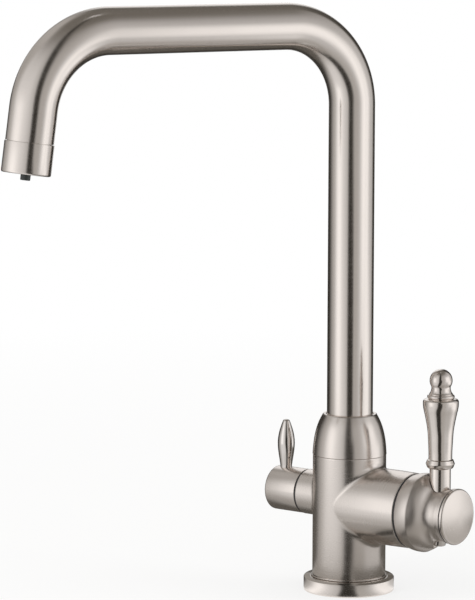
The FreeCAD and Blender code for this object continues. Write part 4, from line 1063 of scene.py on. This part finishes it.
# %% Floor
start_alone()
bpy.ops.mesh.primitive_circle_add(vertices=96, radius=40, fill_type="NGON")
floor = bpy.context.active_object
floor.name = "studio_floor"
paper = bpy.data.materials.new("white paper")
tree = bare_tree(paper)
glow = add_node(tree, "Emission", {"Color": (1, 1, 1, 1), "Strength": 1.0})
matt = add_node(tree, "BsdfDiffuse", {"Color": (0.93, 0.93, 0.92, 1)})
place = add_node(tree, "TexCoord").outputs["Object"]
away = add_node(tree, "VectorMath", {0: place}, operation="LENGTH").outputs["Value"]
share = add_node(tree, "MapRange", {"Value": away, "From Min": 0.15, "From Max": 1.2,
                                    "To Min": 0.72, "To Max": 1.0}).outputs[0]
mix = add_node(tree, "MixShader", {0: share, 1: matt.outputs[0], 2: glow.outputs[0]})
add_node(tree, "OutputMaterial", {"Surface": mix.outputs[0]})
floor.data.materials.append(paper)

# %% [markdown]
# Two large soft lamps shape the shadow and light what isn't metal. They don't show in
# reflections, where the cards of the next step stand in for them.

# %% Lamps
LAMP_AWAY = 1.5
for lamp_name, bearing, lamp_height, power in (("soft box left", -45, 1.3, 9),
                                               ("soft box right", 80, 1.1, 7)):
    turn = camera_bearing + math.radians(bearing)
    bpy.ops.object.light_add(type="AREA", location=(LAMP_AWAY * math.sin(turn),
                                                    -LAMP_AWAY * math.cos(turn), lamp_height))
    lamp = bpy.context.active_object
    lamp.name = lamp_name
    lamp.data.size = 1.0
    lamp.data.energy = power
    aim = Vector((0, 0, 0.15)) - lamp.location
    lamp.rotation_euler = aim.to_track_quat("-Z", "Y").to_euler()
    lamp.visible_glossy = lamp.visible_camera = False
print("studio set")

# %% [markdown]
# ## The light tent
# Bare metal only shows what is round it. So, as for a catalogue picture, the tap stands in
# a light tent that only reflections see: a round floor, a wall and a roof. Round the flange
# the tent's floor has a low step, whose rim shows the flange the same tones as the wall. A
# point's place on the tent is its bearing, counted from the camera to the right, and its
# way out over the floor, up the wall and in along the roof.

# %% The tent
TENT_R, TENT_H = 0.6, 1.1
STEP_H, STEP_R = 9.2, 60
WALL_TONE_AT, END = 0.75, 9
tent = lathe("light_tent", *UPRIGHT, [
    (STEP_H, r) for r in range(24, STEP_R, 4)] + [
    (STEP_H, STEP_R), (0.3, STEP_R), (0.3, 29), (0.2, 29), (0.2, STEP_R + 1)] + [
    (1, r) for r in range(70, 600, 10)] + [(z, TENT_R * 1000) for z in range(1, 1100, 20)] + [
    (TENT_H * 1000, r) for r in range(600, 20, -20)], steps=180, closed=False)
places = vertex_places(tent)
out = np.hypot(places[:, 0], places[:, 1])
way = np.where(places[:, 2] < 0.01, out,
               np.where(out > TENT_R - 0.001, TENT_R + places[:, 2], 2 * TENT_R + TENT_H - out))
way[(out < (STEP_R + 0.1) * MM) & (places[:, 2] < 0.001)] = WALL_TONE_AT
way[np.abs(out - STEP_R * MM) < 0.0001] = WALL_TONE_AT
bearing = np.degrees(np.arctan2(places[:, 0], -places[:, 1]) - camera_bearing)
tone = np.zeros((len(places), 4))


def faded(value, first, last, fade):
    """1 between first and last, and soft steps down to 0 outside them."""
    rise = np.clip((value - first) / fade + 0.5, 0, 1)
    fall = np.clip((last - value) / fade + 0.5, 0, 1)
    return np.minimum(rise, fall) ** 2 * (3 - 2 * np.minimum(rise, fall))


def grey(level):
    """A neutral paper tone, which turns a little warm where it is dark."""
    warmth = 0.09 * max(0.0, 1 - level / 0.6)
    return (level * (1 + warmth), level, level * (1 - 1.6 * warmth))


def hang(first, last, fade, low, high, low_fade, high_fade, level):
    """Hangs a card over the ones already there, or cuts a window where it has no level."""
    middle = (first + last) / 2
    near = (bearing - middle + 180) % 360 - 180
    share = faded(near, first - middle, last - middle, fade) if last - first < 360 else 1.0
    share = share * faded(way, low, END, low_fade) * faded(way, -END, high, high_fade)
    share = np.reshape(share, (-1, 1)) * np.ones((len(places), 1))
    colour = np.array([0.0] * 4 if level is None else [*grey(level), 1.0])
    tone[:] = tone * (1 - share) + colour * share


# %% [markdown]
# Cards hang in the tent: a broad pale one with a bright core on each side, a narrow black
# one in front, and dark ones behind and low down, which draw the dark edges. Each row has
# the card's first and last bearing and the fade there, the way where it starts and ends and
# the two fades there, and its level. Later rows hang over earlier ones; a row with no level
# cuts a window.

# %% The cards
for card in (
        (-180, 180, 1, 0.0, END, 0.01, 0.01, 0.035),
        (-112, -50, 44, 0.0, END, 0.01, 0.1, 0.50),
        (-60, -13, 14, 0.0, END, 0.01, 0.1, 0.56),
        (-84, -28, 24, 0.0, END, 0.01, 0.1, 0.78),
        (-74, -48, 26, 0.50, 0.99, 0.25, 0.2, 1.18),
        (6, 128, 14, 0.0, END, 0.01, 0.1, 0.46),
        (36, 122, 24, 0.28, END, 0.3, 0.1, 0.60),
        (50, 78, 26, 0.62, 1.05, 0.35, 0.3, 1.16),
        (72, 94, 24, 0.32, 1.05, 0.22, 0.3, 1.10),
        (86, 106, 16, 0.30, 0.70, 0.2, 0.12, 1.12),
        (-150, -100, 30, 0.98, END, 0.12, 0.1, 0.42),
        (0, 360, 1, 1.48, END, 1.1, 0.1, 0.16),
        (-142, -84, 30, 1.2, 1.8, 0.3, 0.3, 0.46),
        (-190, -155, 20, 0.88, 1.42, 0.18, 0.3, None),
        (-190, -168, 10, 0.76, 1.0, 0.15, 0.05, None),
        (100, 245, 24, 0.0, 0.30, 0.01, 0.12, 0.10),
        (-104, 8, 16, 0.0, 0.10, 0.01, 0.24, 0.27),
        (10, 48, 16, 0.0, 0.22, 0.01, 0.10, 0.36),
        (48, 104, 16, 0.0, 0.24, 0.01, 0.10, 0.44),
        (48, 104, 16, 0.10, 0.135, 0.02, 0.03, 0.60),
        (8, 104, 16, 0.0, 0.085, 0.01, 0.03, 0.13),
        (-14, 4, 9, 0.0, END, 0.01, 0.6, 0.03),
        (0, 13, 8, 0.12, 0.80, 0.1, 0.15, 0.03)):
    hang(*card)

layer = tent.data.color_attributes.new("tone", "FLOAT_COLOR", "POINT")
layer.data.foreach_set("color", tone.astype(np.float32).ravel())
print("hung the cards on", len(places), "points")

# %% [markdown]
# The tent's cloth glows in the painted tone and is clear where no card hangs. The tone was
# laid on in shares, so it is divided by its density first.

# %% The scrim
scrim = bpy.data.materials.new("scrim")
tree = bare_tree(scrim)
painted = add_node(tree, "Attribute", attribute_name="tone")
density = painted.outputs["Alpha"]
inverse = calc(tree, "DIVIDE", 1.0, calc(tree, "MAXIMUM", density, 0.001))
whole = add_node(tree, "VectorMath", {0: painted.outputs["Color"], "Scale": inverse},
                 operation="SCALE").outputs[0]
glow = add_node(tree, "Emission", {"Color": whole, "Strength": 1.0})
clear = add_node(tree, "BsdfTransparent")
mix = add_node(tree, "MixShader", {0: density, 1: clear.outputs[0], 2: glow.outputs[0]})
add_node(tree, "OutputMaterial", {"Surface": mix.outputs[0]})
tent.data.materials.clear()
tent.data.materials.append(scrim)
tent.visible_camera = tent.visible_diffuse = False
tent.visible_shadow = tent.visible_transmission = False
print("made", scrim.name)
